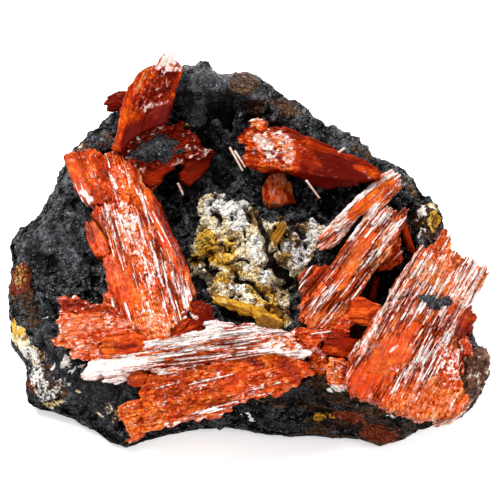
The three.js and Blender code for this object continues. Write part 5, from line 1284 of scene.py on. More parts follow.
    # stains
    q = V[:, 1] * SIN + V[:, 2] * COS
    h = V[:, 2] * SIN - V[:, 1] * COS
    wx = V[:, 0] + 0.8 * warp[:, 0] + 0.35 * value_noise(V * 1.6, 93)
    wq = q + 0.8 * warp[:, 1] + 0.35 * value_noise(V * 1.6, 94)
    masks = np.zeros((len(V), 6))
    for kind, sx, sq, sh, rx, rq, ang, strength in STAINS:
        ca, sa_ = math.cos(math.radians(ang)), math.sin(math.radians(ang))
        ex = ((wx - sx) * ca + (wq - sq) * sa_) / rx
        eq = (-(wx - sx) * sa_ + (wq - sq) * ca) / rq
        e = np.sqrt(ex * ex + eq * eq + ((h - sh) / 5.0) ** 2)
        masks[:, kind] = np.maximum(masks[:, kind], strength * (1 - smooth(e, 0.55, 1.25)))
    masks[:, 0] = np.maximum(masks[:, 0], boxm * 0.62)
    masks[:, 0] *= 1 - 0.5 * smooth(masks[:, 1], 0.5, 0.9)
    masks[:, 2] = np.maximum(masks[:, 2], np.maximum(0.75 * boxm, 0.46 * lay))
    # how steep the place is; the material paints steep sides darker as shade
    wall = 1 - smooth(N[:, 2], 0.35, 0.75)
    wall = np.stack([wall, 0 * wall, 0 * wall], 1)
    # relief: how far the place stands out, lowered on the layered front wall; the material paints low relief as shade
    relief = np.stack([np.clip(0.5 + 0.85 * rock - 0.36 * lay, 0, 1), boxm, solid], 1)
    loops_uv = np.concatenate([uv[Q].reshape(-1, 2), (0.93 + 0.06 * np.stack([
        np.concatenate([np.cos(np.roll(lp, -1))[:, None], np.cos(lp)[:, None], 0 * lp[:, None]], 1).ravel(),
        np.concatenate([np.sin(np.roll(lp, -1))[:, None], np.sin(lp)[:, None], 0 * lp[:, None]], 1).ravel()], 1))])
    ob = make_object("block", V, Q, T, material, {"stain": masks[:, :3], "stain2": masks[:, 3:], "relief": relief, "wall": wall}, uv=loops_uv, smooth_faces=True)
    return ob


def crust_piece(rng, rim, facing, rise):
    n = np.array(facing)
    n /= np.linalg.norm(n)
    rim = np.array(rim)
    mid = rim.mean(0)
    e1 = np.array([1.0, 0, 0]) - n * n[0]
    e1 /= np.linalg.norm(e1)
    e2 = np.cross(n, e1)
    q = rim - mid
    a = np.arctan2(q @ e2, q @ e1)
    r = np.hypot(q @ e2, q @ e1)
    o = np.argsort(a)
    a, r = a[o], r[o]
    N, M = 170, 34
    phi = np.linspace(-np.pi, np.pi, N, endpoint=False)
    R = np.interp(phi, np.concatenate([a - 2 * np.pi, a, a + 2 * np.pi]), np.tile(r, 3))
    R = R * (1 + 0.06 * np.sin(5 * phi + 1) + 0.05 * np.sin(11 * phi + 2))
    V = []
    for j in range(1, M + 1):
        f = j / M
        hgt = rise * (1 - f ** 3.2) * 0.85
        V.append(mid + np.outer(R * f * np.cos(phi), e1) + np.outer(R * f * np.sin(phi), e2) + n * hgt)
    V.append(mid + np.outer(R * 0.9 * np.cos(phi), e1) + np.outer(R * 0.9 * np.sin(phi), e2) - n * 0.5)
    V = np.vstack(V + [[mid + n * rise * 0.85], [mid - n * 0.5]])
    i0 = np.arange(N)
    i1 = (i0 + 1) % N
    Q = np.vstack([np.stack([j * N + i0, (j + 1) * N + i0, (j + 1) * N + i1, j * N + i1], 1) for j in range(M)])
    T = np.vstack([np.stack([i0, i1, np.full(N, (M + 1) * N)], 1), np.stack([M * N + i1, M * N + i0, np.full(N, (M + 1) * N + 1)], 1)])
    b1, v1, s1 = cells(V * 1.05, 140)
    b2, v2, s2 = cells(V * 2.3, 150)
    d = 0.55 * (0.45 - b1) * (0.4 + v1) + 0.3 * (0.5 - b2) + 0.15 * fractal(V * 1.5, 3, 171)
    top = (V - mid) @ n > -0.2
    V = V + n * (d * top)[:, None]
    z3 = np.zeros((len(V), 3))
    g = z3.copy()
    g[:, 2] = 0.6
    # relief: the crust's low parts, which the material paints as shade
    rl = z3.copy()
    rl[:, 0] = np.clip(0.55 + 0.7 * d, 0, 1)
    return V, Q, T, {"stain": z3, "stain2": g, "relief": rl, "wall": z3}


# ----------------------------------------------------------------- the materials
ORANGE = crystal_material("crocoite", (0.80, 0.150, 0.010), (0.60, 0.054, 0.003), (0.14, 0.006, 0.001), (0.95, 0.86, 0.80), level=0.14)
GEM = crystal_material("crocoite_gem", (0.76, 0.12, 0.006), (0.38, 0.022, 0.001), (0.11, 0.003, 0.0004), (0.92, 0.76, 0.68), rough=(0.04, 0.22), transmission=0.10, sss=0.08, ior=1.55, strength=0.12, level=0.0)
PALE = crystal_material("crocoite_pale", (0.82, 0.38, 0.22), (0.66, 0.22, 0.11), (0.32, 0.08, 0.04), (0.93, 0.80, 0.72), sss=0.1)
BROWN = crystal_material("brown_crust", (0.34, 0.15, 0.06), (0.12, 0.042, 0.018), (0.012, 0.005, 0.003), (0.62, 0.50, 0.36), rough=(0.4, 0.7), sss=0.0, ior=1.45, tinted=False)
OCHRE = crystal_material("ochre", (0.66, 0.36, 0.024), (0.46, 0.205, 0.009), (0.16, 0.060, 0.006), (0.82, 0.68, 0.38), rough=(0.4, 0.7), sss=0.0, ior=1.45, level=0.15, tinted=False)
ROCK = rock_material("gossan")
MATS = {"o": ORANGE, "g": GEM, "p": PALE, "b": BROWN, "y": OCHRE}

# ------------------------------------------------------------------ the crystals
# Look of each crystal: material, depth of striations, tilt of their facets,
# how splintered the ends are, how much painted highlight (silky white sheen) or deep red it shows.
BASE = dict(stri=0.035, tilt=0.22, ragged=0.5, pale=0.12, deep=0.2, pitch=0.26, wide=0.7)
LOOKS = {
    "tall_prism": dict(mat='g'),
    "cross_prism": dict(mat='g'),
    "gem_prism": dict(mat='g'),
    "round_gem": dict(mat='g'),
    "dark_wedge": dict(mat='g'),
    "deep_red_block": dict(mat='g'),
    "red_dome": dict(mat='g'),
    "rear_nub": dict(mat='g'),
    "hollow_crystal": dict(mat='g', pale=0.05, deep=0.3),
    "hollow_strip": dict(mat='g', pale=0.05, deep=0.3),
    "brown_knob": dict(mat='b'),
    "pale_shard": dict(mat='p'),
    "ochre_band": dict(mat='y'),
    "ochre_crystal": dict(mat='y', pale=0.05, deep=0.5),
}
# Broad crystals: corner of the plane, direction along the fibres, across and
# out, thickness, look, and outline in the plane (along, across).
SLABS = {
    "great_blade": [
        ((17.01, -21.01, 14.82), (0.4695, 0.8809, 0.0593), (-0.8603, 0.4414, 0.2549), (0.1983, -0.1707, 0.9652), 4.2, dict(base=dict(pale=0.3, deep=0.06, grit=0.15, flat=0.0), bite=0.6, grain=0.65, cracks=[(8.86, 4.43, 10.21, 3.07), (10.21, 3.07, 11.73, 1.95)], zones=[
            ("pale", 1.86, 3.66, 14.76, 4.00, 1.04, 0.74),
            ("pale", 15.95, 3.15, 18.68, -4.37, 2.21, 0.6),
            ("pale", 18.81, -2.81, 14.38, -3.94, 1.82, 0.72),
            ("pale", 1.25, -2.87, 11.02, -4.22, 1.17, 0.72),
            ("pale", 9.97, 2.95, 12.81, -1.49, 1.82, 0.64),
            ("grit", 18.59, 1.56, 13.52, -2.61, 2.08, 0.55),
            ("flat", -2.58, 2.17, 3.42, 0.20, 1.82, 0.9),
            ("pale", -2.58, 2.17, 3.42, 0.20, 1.69, 0.02),
            ("flat", 3.21, 0.53, 7.85, -0.26, 0.78, 0.9),
            ("pale", 3.21, 0.53, 7.85, -0.26, 0.78, 0.02),
            ("pale", 0.86, 2.24, 5.82, 1.93, 0.78, 0.45),
            ("grit", -2.14, -3.49, 1.97, -8.99, 2.47, 0.75),
            ("pale", -2.49, -2.94, 0.65, -7.91, 2.21, 0.26),
            ("grit", 6.06, -5.95, 4.10, -7.86, 1.82, 0.9),
            ("pale", 6.87, -5.22, 5.34, -7.81, 1.69, 0.55),
            ("pale", 3.93, -5.59, 8.38, -7.09, 1.17, 0.75),
            ("deep", 9.60, -2.00, 11.08, -3.30, 1.17, 0.45),
            ("deep", 14.55, 1.81, 16.67, 2.03, 0.65, 0.5),
            ("pale", 3.07, 0.76, 4.20, 0.47, 0.26, 0.8),
            ("pale", 1.31, -0.47, 1.50, -1.26, 0.26, 0.8),
            ("deep", 9.12, 4.27, 11.54, 2.00, 0.20, 1.0),
            ("deep", 16.44, 3.40, 18.84, 1.69, 1.04, 0.25),
            ("deep", 15.10, 1.21, 16.72, -5.10, 2.34, -0.12),
            ("deep", -2.14, -3.49, 1.97, -8.99, 2.47, 0.02),
            ("deep", 5.92, -5.72, 4.24, -8.09, 1.56, 0.25),
        ]), [
             (14.50, 4.16), (12.60, 4.35), (10.60, 4.47), (8.88, 4.15), (7.19, 4.28), (5.55, 4.60),
             (3.52, 4.54), (1.65, 4.73), (0.03, 5.04), (-1.20, 4.23), (-3.25, 3.72), (-4.19, 2.48),
             (-3.83, 0.91), (-3.53, -0.55), (-3.45, -2.42), (-3.32, -4.12), (-2.88, -5.80), (-1.93, -7.80),
             (-0.96, -9.35), (0.17, -10.38), (1.23, -10.56), (2.74, -10.95), (3.69, -9.71), (5.19, -8.33),
             (8.00, -7.00), (8.84, -5.81), (9.59, -4.98), (11.31, -4.66), (13.24, -4.69), (14.90, -5.01),
             (16.60, -5.16), (18.24, -5.20), (19.81, -5.12), (19.77, -3.05), (19.76, -1.26), (19.62, 0.46),
             (21.25, 1.47), (21.67, 2.58), (19.73, 2.31), (18.75, 2.83), (17.52, 3.98), (15.82, 4.12),
        ]),
    ],
    "right_bundle": [
        ((8.03, -12.40, 14.86), (0.6096, 0.7747, 0.1677), (-0.7779, 0.5442, 0.3142), (0.1521, -0.3220, 0.9344), 4.0, dict(base=dict(pale=0.32, deep=0.0, grit=0.1, flat=0.0), zones=[
            ("pale", 10.29, 1.89, 16.67, 2.21, 0.91, 1.0),
            ("pale", 13.85, -0.96, 18.22, -0.88, 0.78, 1.05),
            ("pale", 16.04, 1.73, 17.85, -0.84, 0.91, 0.75),
            ("flat", 5.33, -0.32, 12.82, 0.89, 0.91, 0.8),
            ("pale", 5.33, -0.32, 12.82, 0.89, 0.78, 0.08),
            ("pale", 0.81, 0.44, 4.36, 0.24, 0.65, 0.85),
            ("pale", 7.00, 0.32, 11.94, -1.12, 0.65, 0.55),
            ("pale", 2.45, -0.92, 7.36, -0.72, 0.78, 0.2),
            ("pale", 2.86, 3.68, 5.17, 2.52, 1.30, 0.1),
            ("deep", 2.45, 3.36, 5.17, 2.52, 1.17, 0.15),
            ("grit", -0.79, -0.48, 1.94, -2.95, 1.04, 0.7),
            ("deep", 5.81, -1.92, 9.04, -1.72, 0.65, 0.35),
            ("pale", 14.36, 1.09, 16.13, 0.81, 0.78, 0.5),
        ]), [
             (-1.50, -1.03), (-0.32, -2.25), (0.89, -3.11), (2.56, -3.29), (3.90, -3.08), (5.59, -3.08),
             (7.91, -2.60), (9.33, -2.48), (10.93, -2.56), (12.20, -3.07), (13.69, -2.41), (15.15, -2.11),
             (17.18, -1.69), (18.77, -1.12), (17.64, -0.18), (17.09, 0.89), (17.00, 1.81), (16.72, 2.76),
             (14.04, 2.49), (11.38, 2.41), (9.58, 2.33), (7.95, 2.04), (6.62, 2.00), (5.69, 2.92),
             (4.05, 4.28), (2.83, 4.32), (1.50, 3.28), (1.07, 1.96), (-0.14, 2.00), (-1.29, 0.94),
        ]),
    ],
    "upper_right_prism": [
        ((9.45, -1.66, 14.92), (0.7475, 0.6219, 0.2333), (-0.6592, 0.6512, 0.3760), (0.0819, -0.4349, 0.8968), 3.2, dict(base=dict(pale=0.7, deep=-0.05, grit=0.1, flat=0.2), zones=[
            ("pale", 1.47, 1.13, 9.57, 1.28, 0.58, 1.2),
            ("pale", 2.49, -0.45, 7.10, -0.34, 0.65, 0.95),
            ("flat", 4.84, 0.25, 11.71, -0.23, 0.91, 0.8),
            ("pale", 5.21, 0.27, 11.68, 0.14, 0.78, 0.15),
            ("deep", 10.09, -0.88, 12.66, -0.71, 0.52, 0.5),
            ("pale", 0.05, 0.31, 1.37, -0.16, 0.65, 0.2),
            ("pale", 8.37, -0.07, 11.34, -0.25, 0.39, 0.7),
        ]), [
             (-0.65, -0.29), (0.41, -1.04), (1.99, -1.21), (3.90, -0.82), (5.99, -0.41), (7.85, -0.66),
             (9.20, -1.48), (10.77, -1.48), (12.60, -1.18), (13.19, -0.31), (12.92, 0.95), (11.60, 1.41),
             (9.66, 1.38), (7.54, 1.34), (4.87, 1.26), (1.66, 0.96), (-0.16, 0.66),
        ]),
    ],
    "twin_blade": [
        ((-16.55, 7.17, 15.08), (0.2445, -0.9694, -0.0219), (0.9611, 0.2393, 0.1381), (-0.1287, -0.0548, 0.9902), 4.0, dict(base=dict(pale=0.3, deep=0.1, grit=0.25, flat=0.0), facets=[(2.18, 3.18, 14.42, 5.27, 38, 1)], zones=[
            ("grit", -1.90, 0.11, 2.62, -0.17, 1.82, 0.9),
            ("pale", -1.98, -0.14, 2.54, -0.42, 1.82, 0.35),
            ("pale", 3.59, -2.83, 4.04, -0.51, 1.04, 0.6),
            ("pale", 4.16, -1.08, 14.53, 0.96, 1.30, 0.8),
            ("pale", 3.93, -3.18, 8.94, -1.83, 1.17, 0.75),
            ("pale", 14.97, -0.48, 18.03, 0.64, 1.30, 0.75),
            ("grit", 4.58, -1.18, 14.15, 0.25, 1.56, 0.8),
            ("flat", 10.80, -4.02, 16.19, -3.18, 1.82, 0.65),
            ("pale", 10.52, -3.95, 16.83, -3.07, 1.82, 0.08),
            ("grit", 17.23, -1.83, 22.18, -0.38, 2.34, 0.85),
            ("pale", 17.63, -0.60, 22.18, -0.38, 1.82, 0.5),
            ("deep", 17.23, -1.83, 22.18, -0.38, 2.34, -0.05),
            ("flat", 2.91, 2.59, 12.38, 3.63, 0.65, 0.95),
            ("pale", 2.91, 2.59, 12.22, 3.13, 0.52, 0.0),
            ("pale", 1.47, 1.46, 9.91, 3.03, 0.13, 1.0),
            ("pale", 2.97, 2.31, 10.94, 3.85, 0.12, 1.0),
            ("deep", 4.13, 3.51, 13.70, 4.91, 0.58, 0.7),
            ("pale", 4.13, 3.51, 13.70, 4.91, 0.58, 0.1),
            ("flat", 4.13, 3.51, 13.70, 4.91, 0.58, 0.8),
            ("pale", 13.06, 2.93, 18.59, 4.23, 1.04, 0.8),
            ("pale", 19.12, 3.57, 20.07, 3.73, 0.33, 1.2),
            ("deep", 14.13, -0.28, 14.25, 1.03, 0.39, 0.9),
            ("pale", -0.80, -1.23, 0.50, -1.01, 0.33, 1.0),
            ("deep", 4.89, 1.17, 11.34, 2.28, 0.26, 0.5),
        ]), [
             (3.08, -4.86), (4.54, -4.13), (6.98, -3.64), (9.44, -3.56), (10.06, -4.91), (12.42, -5.08),
             (14.36, -5.14), (15.04, -5.84), (16.07, -6.35), (17.50, -5.63), (19.80, -4.05), (21.52, -2.88),
             (23.34, -1.86), (23.48, -0.03), (22.10, 1.23), (20.66, 2.79), (20.43, 3.91), (19.22, 4.34),
             (18.49, 5.32), (16.59, 4.99), (14.66, 5.07), (11.36, 4.68), (7.86, 4.21), (4.35, 3.72),
             (2.18, 3.18), (0.35, 2.27), (-1.49, 2.31), (-2.94, 1.18), (-4.40, 0.99), (-4.91, -0.11),
             (-4.85, -1.34), (-3.01, -1.38), (-0.64, -1.68), (1.48, -1.78), (2.45, -2.55), (2.43, -4.03),
        ]),
    ],
    "left_knob": [
        ((-19.62, 5.08, 14.53), (-0.3780, 0.9085, 0.1783), (-0.9182, -0.3431, -0.1981), (-0.1188, -0.2386, 0.9638), 3.6, dict(base=dict(pale=0.2, deep=0.2, grit=0.45, flat=0.35), zones=[
            ("flat", 5.96, 1.11, 1.99, 1.56, 0.78, 0.9),
            ("deep", 5.71, 1.21, 1.99, 1.56, 0.65, 0.1),
            ("pale", 4.64, -0.49, 1.63, -0.55, 0.52, 0.62),
            ("pale", 1.74, 1.66, 0.48, 1.18, 0.46, 1.1),
            ("pale", 6.43, 1.49, 5.65, -1.88, 0.21, 0.6),
            ("deep", 5.16, -1.97, 2.45, -2.01, 0.65, 0.5),
            ("deep", 1.12, -0.35, -0.57, -0.80, 0.65, 0.45),
            ("grit", 5.23, -1.15, 0.80, -1.07, 1.04, 0.8),
        ]), [
             (3.74, 2.14), (1.40, 2.23), (0.14, 1.74), (-0.66, 0.65), (-1.00, -0.77), (-0.21, -1.65),
             (1.59, -1.95), (3.40, -2.54), (5.08, -2.79), (6.39, -1.90), (6.68, -0.60), (7.10, 0.65),
             (6.90, 1.87),
        ]),
    ],
    "left_sliver": [
        ((-21.01, 2.48, 13.47), (0.3732, -0.9269, -0.0396), (0.9106, 0.3578, 0.2066), (-0.1773, -0.1132, 0.9776), 2.4, dict(base=dict(pale=0.08, deep=0.15, grit=0.2, flat=0.7), zones=[
            ("deep", 0.79, -0.30, 2.87, -0.55, 0.52, 0.5),
        ]), [
             (2.11, -0.82), (3.92, -0.97), (5.27, -0.79), (5.82, -0.01), (5.33, 0.89), (3.65, 0.99),
             (2.04, 0.92), (0.43, 0.55), (0.47, -0.32),
        ]),
    ],
    "left_rough_block": [
        ((-24.30, -13.70, 14.25), (0.9984, 0.0572, 0.0000), (-0.0495, 0.8650, 0.4994), (0.0286, -0.4986, 0.8664), 3.6, dict(base=dict(pale=0.38, deep=-0.04, grit=0.9, flat=0.0), bite=0.6, zones=[
            ("deep", 0.42, 2.82, 5.24, 2.07, 0.91, 0.6),
            ("pale", 0.91, 2.54, 4.72, 1.84, 0.91, 0.12),
            ("pale", -0.31, -1.49, 2.50, -1.63, 0.65, 0.3),
            ("pale", 2.43, -2.91, 4.35, -3.01, 1.04, 0.5),
            ("deep", 6.25, 1.76, 9.00, 0.60, 0.52, 0.4),
        ]), [
             (0.07, 1.05), (-0.02, -0.87), (-0.96, -1.72), (-0.23, -2.39), (1.18, -2.46), (2.21, -2.26),
             (1.40, -3.11), (1.48, -4.14), (3.13, -4.35), (5.69, -4.35), (4.58, -3.53), (4.90, -2.14),
             (6.35, -1.31), (8.92, -1.06), (10.94, -1.67), (10.33, -1.00), (8.73, 0.23), (7.01, 1.72),
             (5.79, 2.81), (5.38, 2.32), (3.99, 2.64), (2.11, 3.50), (0.19, 3.34),
        ]),
    ],
    "left_gem": [
        ((-18.91, -16.48, 13.99), (0.9965, 0.0769, 0.0325), (-0.0829, 0.8630, 0.4983), (0.0103, -0.4992, 0.8664), 3.2, dict(base=dict(pale=0.1, deep=0.1, grit=0.35, flat=0.5), zones=[
            ("deep", 1.80, -0.25, 4.11, -0.18, 0.39, 0.5),
        ]), [
             (-0.28, -0.71), (0.68, -1.43), (3.26, -1.26), (5.83, -1.09), (6.93, -0.16), (5.73, 0.83),
             (3.49, 1.53), (1.30, 1.33), (-0.18, 0.56),
        ]),
    ],
    "middle_rough_block": [
        ((-10.26, -14.08, 14.11), (0.8990, 0.4333, 0.0639), (-0.4126, 0.7889, 0.4555), (0.1469, -0.4358, 0.8880), 3.2, dict(base=dict(pale=0.15, deep=0.35, grit=0.7, flat=0.2), zones=[
        ]), [
             (-0.83, -0.98), (0.56, -1.33), (1.75, -0.60), (2.87, 0.30), (3.01, 1.22), (2.14, 1.19),
             (0.51, 0.10),
        ]),
    ],
    "deep_red_block": [
        ((-8.05, -13.59, 14.53), (0.8358, 0.5490, 0.0000), (-0.4944, 0.7528, 0.4346), (0.2386, -0.3633, 0.9006), 3.4, dict(base=dict(pale=0.1, deep=0.48, grit=0.3, flat=0.5), zones=[
            ("pale", 0.81, 1.38, 1.45, 0.14, 0.39, 0.9),
            ("deep", -0.94, -0.30, 1.26, -1.22, 0.78, 0.2),
        ]), [
             (0.99, 0.39), (-0.30, -0.51), (-1.51, -1.02), (0.36, -1.46), (2.15, -1.27), (3.61, -0.61),
             (4.03, 0.63), (2.96, 1.66), (1.79, 2.01),
        ]),
    ],
    "long_prism": [
        ((-20.92, -19.82, 13.19), (0.9909, 0.1213, 0.0580), (-0.1341, 0.8582, 0.4955), (0.0103, -0.4988, 0.8667), 3.2, dict(base=dict(pale=0.88, deep=0.05, grit=0.2, flat=0.0), zones=[
            ("pale", 0.08, 0.29, 7.03, 0.37, 1.30, 1.25),
            ("pale", 8.31, 2.25, 15.56, 2.69, 0.65, 1.25),
            ("pale", 15.97, 3.79, 19.00, 3.38, 0.65, 1.15),
            ("pale", 26.96, -0.53, 28.34, -1.74, 0.65, 1.3),
            ("pale", 20.70, 2.63, 21.94, 0.41, 0.91, 0.9),
            ("pale", 2.99, -1.01, 4.77, -1.12, 0.65, 1.0),
            ("pale", 8.22, -0.30, 13.30, -0.74, 0.65, 0.58),
            ("pale", 12.18, 0.44, 24.97, -0.00, 0.52, 0.66),
            ("pale", 22.80, 1.06, 26.55, 0.30, 1.04, 0.75),
            ("deep", 3.07, -0.38, 12.01, -0.82, 0.16, 0.8),
            ("deep", 8.39, 0.96, 19.99, 1.19, 0.16, 0.6),
            ("flat", 0.62, 0.47, 7.06, 0.62, 1.04, 0.6),
            ("grit", 15.87, 3.03, 17.06, 2.35, 0.78, 0.8),
            ("deep", 16.12, 3.00, 16.81, 2.39, 0.52, 0.5),
            ("grit", 22.77, 0.81, 26.49, -0.21, 1.17, 0.7),
            ("pale", 14.60, -0.65, 20.22, -0.90, 0.39, 0.5),
        ]), [
             (0.68, -0.95), (1.95, -0.10), (2.18, -1.28), (3.62, -1.99), (4.72, -1.50), (5.11, -0.52),
             (6.91, -0.51), (8.14, -0.94), (9.36, -1.36), (12.71, -1.30), (14.06, -0.84), (16.49, -0.91),
             (20.36, -0.79), (23.61, -0.59), (26.32, -1.47), (27.92, -1.95), (28.50, -1.51), (27.13, -0.17),
             (26.69, 1.31), (25.24, 2.02), (22.99, 2.45), (21.31, 3.32), (19.47, 3.06), (18.76, 3.54),
             (17.07, 4.28), (15.63, 4.09), (15.63, 3.19), (13.81, 3.05), (11.21, 2.76), (7.98, 2.68),
             (8.21, 1.50), (5.24, 1.39), (2.43, 1.51), (0.45, 1.13), (-0.82, -0.62),
        ]),
    ],
    "round_crystal": [
        ((-15.53, -20.03, 11.73), (0.9936, 0.1131, 0.0000), (-0.0981, 0.8618, 0.4976), (0.0563, -0.4944, 0.8674), 2.4, dict(base=dict(pale=0.15, deep=0.05, grit=0.3, flat=0.7), dome=0.6, zones=[
        ]), [
             (0.15, -0.63), (1.15, -0.98), (2.30, -0.97), (2.77, -0.12), (2.46, 0.68), (1.35, 1.05),
             (0.18, 0.91), (-0.16, 0.04),
        ]),
    ],
    "front_cluster": [
        ((-16.39, -24.00, 10.13), (0.9727, 0.1946, 0.1268), (-0.2319, 0.8424, 0.4864), (-0.0121, -0.5025, 0.8645), 4.0, dict(base=dict(pale=0.2, deep=0.08, grit=0.75, flat=0.0), laths=0.4, zones=[
            ("pale", 5.38, -3.04, 13.72, -2.14, 0.78, 0.75),
            ("pale", 0.46, 0.49, 3.80, 0.22, 0.65, 0.35),
            ("pale", 13.72, -2.14, 18.22, -0.86, 0.65, 0.55),
            ("grit", 7.11, -2.40, 13.78, -1.89, 0.91, 0.3),
            ("deep", 4.16, 1.71, 10.59, 1.22, 1.04, 0.35),
            ("flat", 14.44, -0.22, 17.38, 2.23, 1.17, 0.5),
            ("pale", 14.44, -0.22, 17.33, 1.98, 1.04, 0.05),
            ("deep", 17.50, 2.72, 18.87, 1.87, 0.52, 0.7),
            ("pale", 10.10, 1.34, 12.81, 1.74, 0.78, 0.55),
            ("pale", 5.99, 3.89, 8.22, 3.36, 0.52, 0.7),
            ("pale", 17.53, 0.62, 19.76, 0.09, 1.04, 0.35),
            ("deep", 21.66, 1.47, 22.73, -0.62, 0.91, 0.5),
            ("flat", 21.60, 1.22, 22.54, -0.31, 1.04, 0.7),
            ("pale", 5.04, -0.08, 7.09, -0.30, 0.52, 0.5),
            ("deep", 8.88, -0.47, 11.16, 0.30, 0.78, 0.4),
        ]), [
             (-0.27, -0.91), (0.18, -2.33), (0.10, -3.75), (0.72, -3.90), (1.39, -2.74), (2.79, -2.95),
             (4.33, -3.05), (6.19, -2.97), (7.82, -2.70), (9.28, -3.18), (11.38, -3.16), (13.30, -2.83),
             (15.02, -2.19), (16.69, -1.80), (17.87, -2.34), (19.01, -1.96), (19.76, -2.66), (21.02, -2.31),
             (21.60, -1.53), (22.68, -1.92), (23.66, -1.10), (24.77, -0.84), (24.51, 0.27), (23.76, 1.49),
             (22.08, 2.15), (20.16, 2.87), (17.04, 2.96), (13.17, 3.23), (10.88, 3.51), (9.24, 3.25),
             (5.90, 3.52), (4.63, 3.69), (4.09, 2.51), (3.25, 2.31), (2.50, 0.79), (0.83, 0.93),
             (-0.31, 0.54),
        ]),
    ],
    "cross_prism": [
        ((-16.97, 10.17, 15.11), (0.9499, 0.2725, 0.1531), (-0.3126, 0.8226, 0.4749), (0.0035, -0.4990, 0.8666), 4.2, dict(base=dict(pale=0.26, deep=0.62, grit=0.85, flat=0.0), zones=[
            ("flat", 2.48, -3.46, 6.34, -2.54, 0.91, 0.9),
            ("pale", 2.48, -3.46, 6.34, -2.54, 0.78, 0.03),
            ("deep", 2.48, -3.46, 6.26, -2.79, 0.91, 0.45),
            ("grit", 2.48, -3.46, 6.26, -2.79, 0.91, 0.1),
            ("pale", 9.47, -1.38, 11.12, -2.19, 0.65, 0.6),
            ("pale", 1.15, -0.01, 2.14, -1.98, 0.65, 0.6),
            ("pale", 1.80, 1.97, 6.40, 2.64, 0.52, 0.5),
            ("pale", 5.77, -2.63, 7.53, -2.25, 0.26, 0.7),
        ]), [
             (0.90, 0.07), (2.06, -1.41), (1.98, -2.89), (2.56, -4.45), (3.84, -3.91), (5.19, -3.12),
             (6.84, -2.71), (8.36, -2.25), (10.21, -2.44), (11.69, -2.52), (10.91, -1.58), (10.12, -0.22),
             (9.99, 1.05), (9.04, 2.32), (7.31, 2.48), (6.53, 3.01), (4.55, 2.84), (2.21, 2.38),
             (0.48, 1.30),
        ]),
    ],
    "dark_wedge": [
        ((-8.41, 9.81, 13.63), (0.8684, 0.4851, 0.1024), (-0.4770, 0.7612, 0.4395), (0.1353, -0.4305, 0.8924), 3.2, dict(base=dict(pale=0.05, deep=0.52, grit=0.1, flat=0.8), zones=[
            ("deep", 0.74, 1.22, 1.65, 0.14, 0.65, 0.2),
        ]), [
             (-0.53, 0.27), (-0.93, -1.30), (-0.19, -1.84), (1.25, -1.42), (2.98, -0.71), (4.08, 0.19),
             (2.15, 0.77), (0.45, 1.23),
        ]),
    ],
    "tall_prism": [
        ((-16.93, 11.14, 17.05), (0.4106, 0.6493, 0.6402), (-0.9067, 0.3653, 0.2109), (-0.0970, -0.6671, 0.7387), 5.0, dict(base=dict(pale=0.12, deep=0.1, grit=0.3, flat=0.4), ragged=0.0, laths=0.0, facets=[(-0.04, -0.36, 8.21, 1.32, 40, 1)], zones=[
            ("deep", 1.75, -0.42, 6.77, -3.61, 1.69, 0.85),
            ("pale", 1.75, -0.42, 6.53, -3.72, 1.69, 0.0),
            ("flat", 1.99, -0.31, 6.77, -3.61, 1.82, 1.0),
            ("grit", 1.99, -0.31, 6.77, -3.61, 1.69, 0.0),
            ("deep", -0.24, 0.70, 7.16, 1.71, 0.65, 0.0),
            ("flat", -0.24, 0.70, 7.16, 1.71, 0.65, 0.8),
            ("pale", -0.24, 0.70, 7.27, 1.47, 0.52, 0.35),
            ("grit", 6.83, -1.29, 10.62, -1.31, 2.08, 0.9),
            ("pale", 6.72, -1.06, 10.38, -1.42, 1.95, 0.45),
            ("deep", 6.83, -1.29, 10.27, -1.18, 1.95, 0.55),
            ("pale", 6.15, -0.46, 8.32, -3.20, 0.39, 0.75),
            ("pale", 7.97, 1.22, 10.91, 0.53, 0.65, 0.5),
            ("deep", 7.97, 1.22, 10.91, 0.53, 0.65, 0.0),
            ("pale", 11.97, 0.15, 12.71, -2.65, 0.52, 0.9),
            ("deep", 11.46, -0.93, 12.00, -2.69, 0.39, 1.0),
        ]), [
             (-0.61, 0.54), (-0.04, -0.36), (1.39, -0.58), (3.03, -1.57), (4.71, -2.96), (5.81, -4.04),
             (6.88, -3.84), (8.25, -3.66), (10.15, -3.38), (11.81, -3.20), (12.64, -3.11), (12.83, -2.60),
             (12.86, -1.73), (12.76, -0.92), (12.31, -0.27), (11.79, 0.21), (11.33, 0.58), (10.82, 1.35),
             (9.59, 1.80), (8.58, 1.78), (7.53, 2.16), (6.10, 2.10), (4.07, 1.76), (1.49, 1.04),
             (-0.60, 0.83),
        ]),
        ((-16.93, 11.14, 17.05), (0.4106, 0.6493, 0.6402), (-0.9067, 0.3653, 0.2109), (-0.0970, -0.6671, 0.7387), 4.0, dict(base=dict(pale=1.15, deep=0.0, grit=0.0, flat=1.0), swell=0.05, ragged=0.0, laths=0.0, facets=[(13.96, -0.38, 11.25, -2.02, 38, 1), (13.39, 0.21, 11.10, -1.09, 30, -1)], zones=[
            ("pale", 12.84, -2.31, 12.17, -3.04, 0.39, 0.35),
            ("deep", 12.84, -2.31, 12.17, -3.04, 0.39, 0.6),
            ("pale", 11.91, 0.27, 13.15, 0.11, 0.26, 0.5),
        ]), [
             (10.89, -0.33), (11.57, -1.17), (11.84, -2.05), (11.88, -3.03), (12.71, -2.94), (13.09, -1.91),
             (13.53, -1.00), (13.72, -0.49), (13.50, -0.02), (12.97, 0.17), (12.09, 0.20), (11.15, 0.35),
        ]),
    ],
    "rear_nub": [
        ((-19.16, 19.57, 14.39), (0.9565, 0.0955, 0.2757), (-0.2247, 0.8439, 0.4872), (-0.1861, -0.5280, 0.8286), 2.4, dict(base=dict(pale=0.03, deep=0.7, grit=0.1, flat=0.8), dome=0.4, zones=[
        ]), [
             (0.21, -0.84), (1.78, -1.21), (2.72, -0.75), (3.50, 0.82), (2.45, 1.06), (1.00, 0.73),
             (0.13, -0.01),
        ]),
    ],
    "gem_prism": [
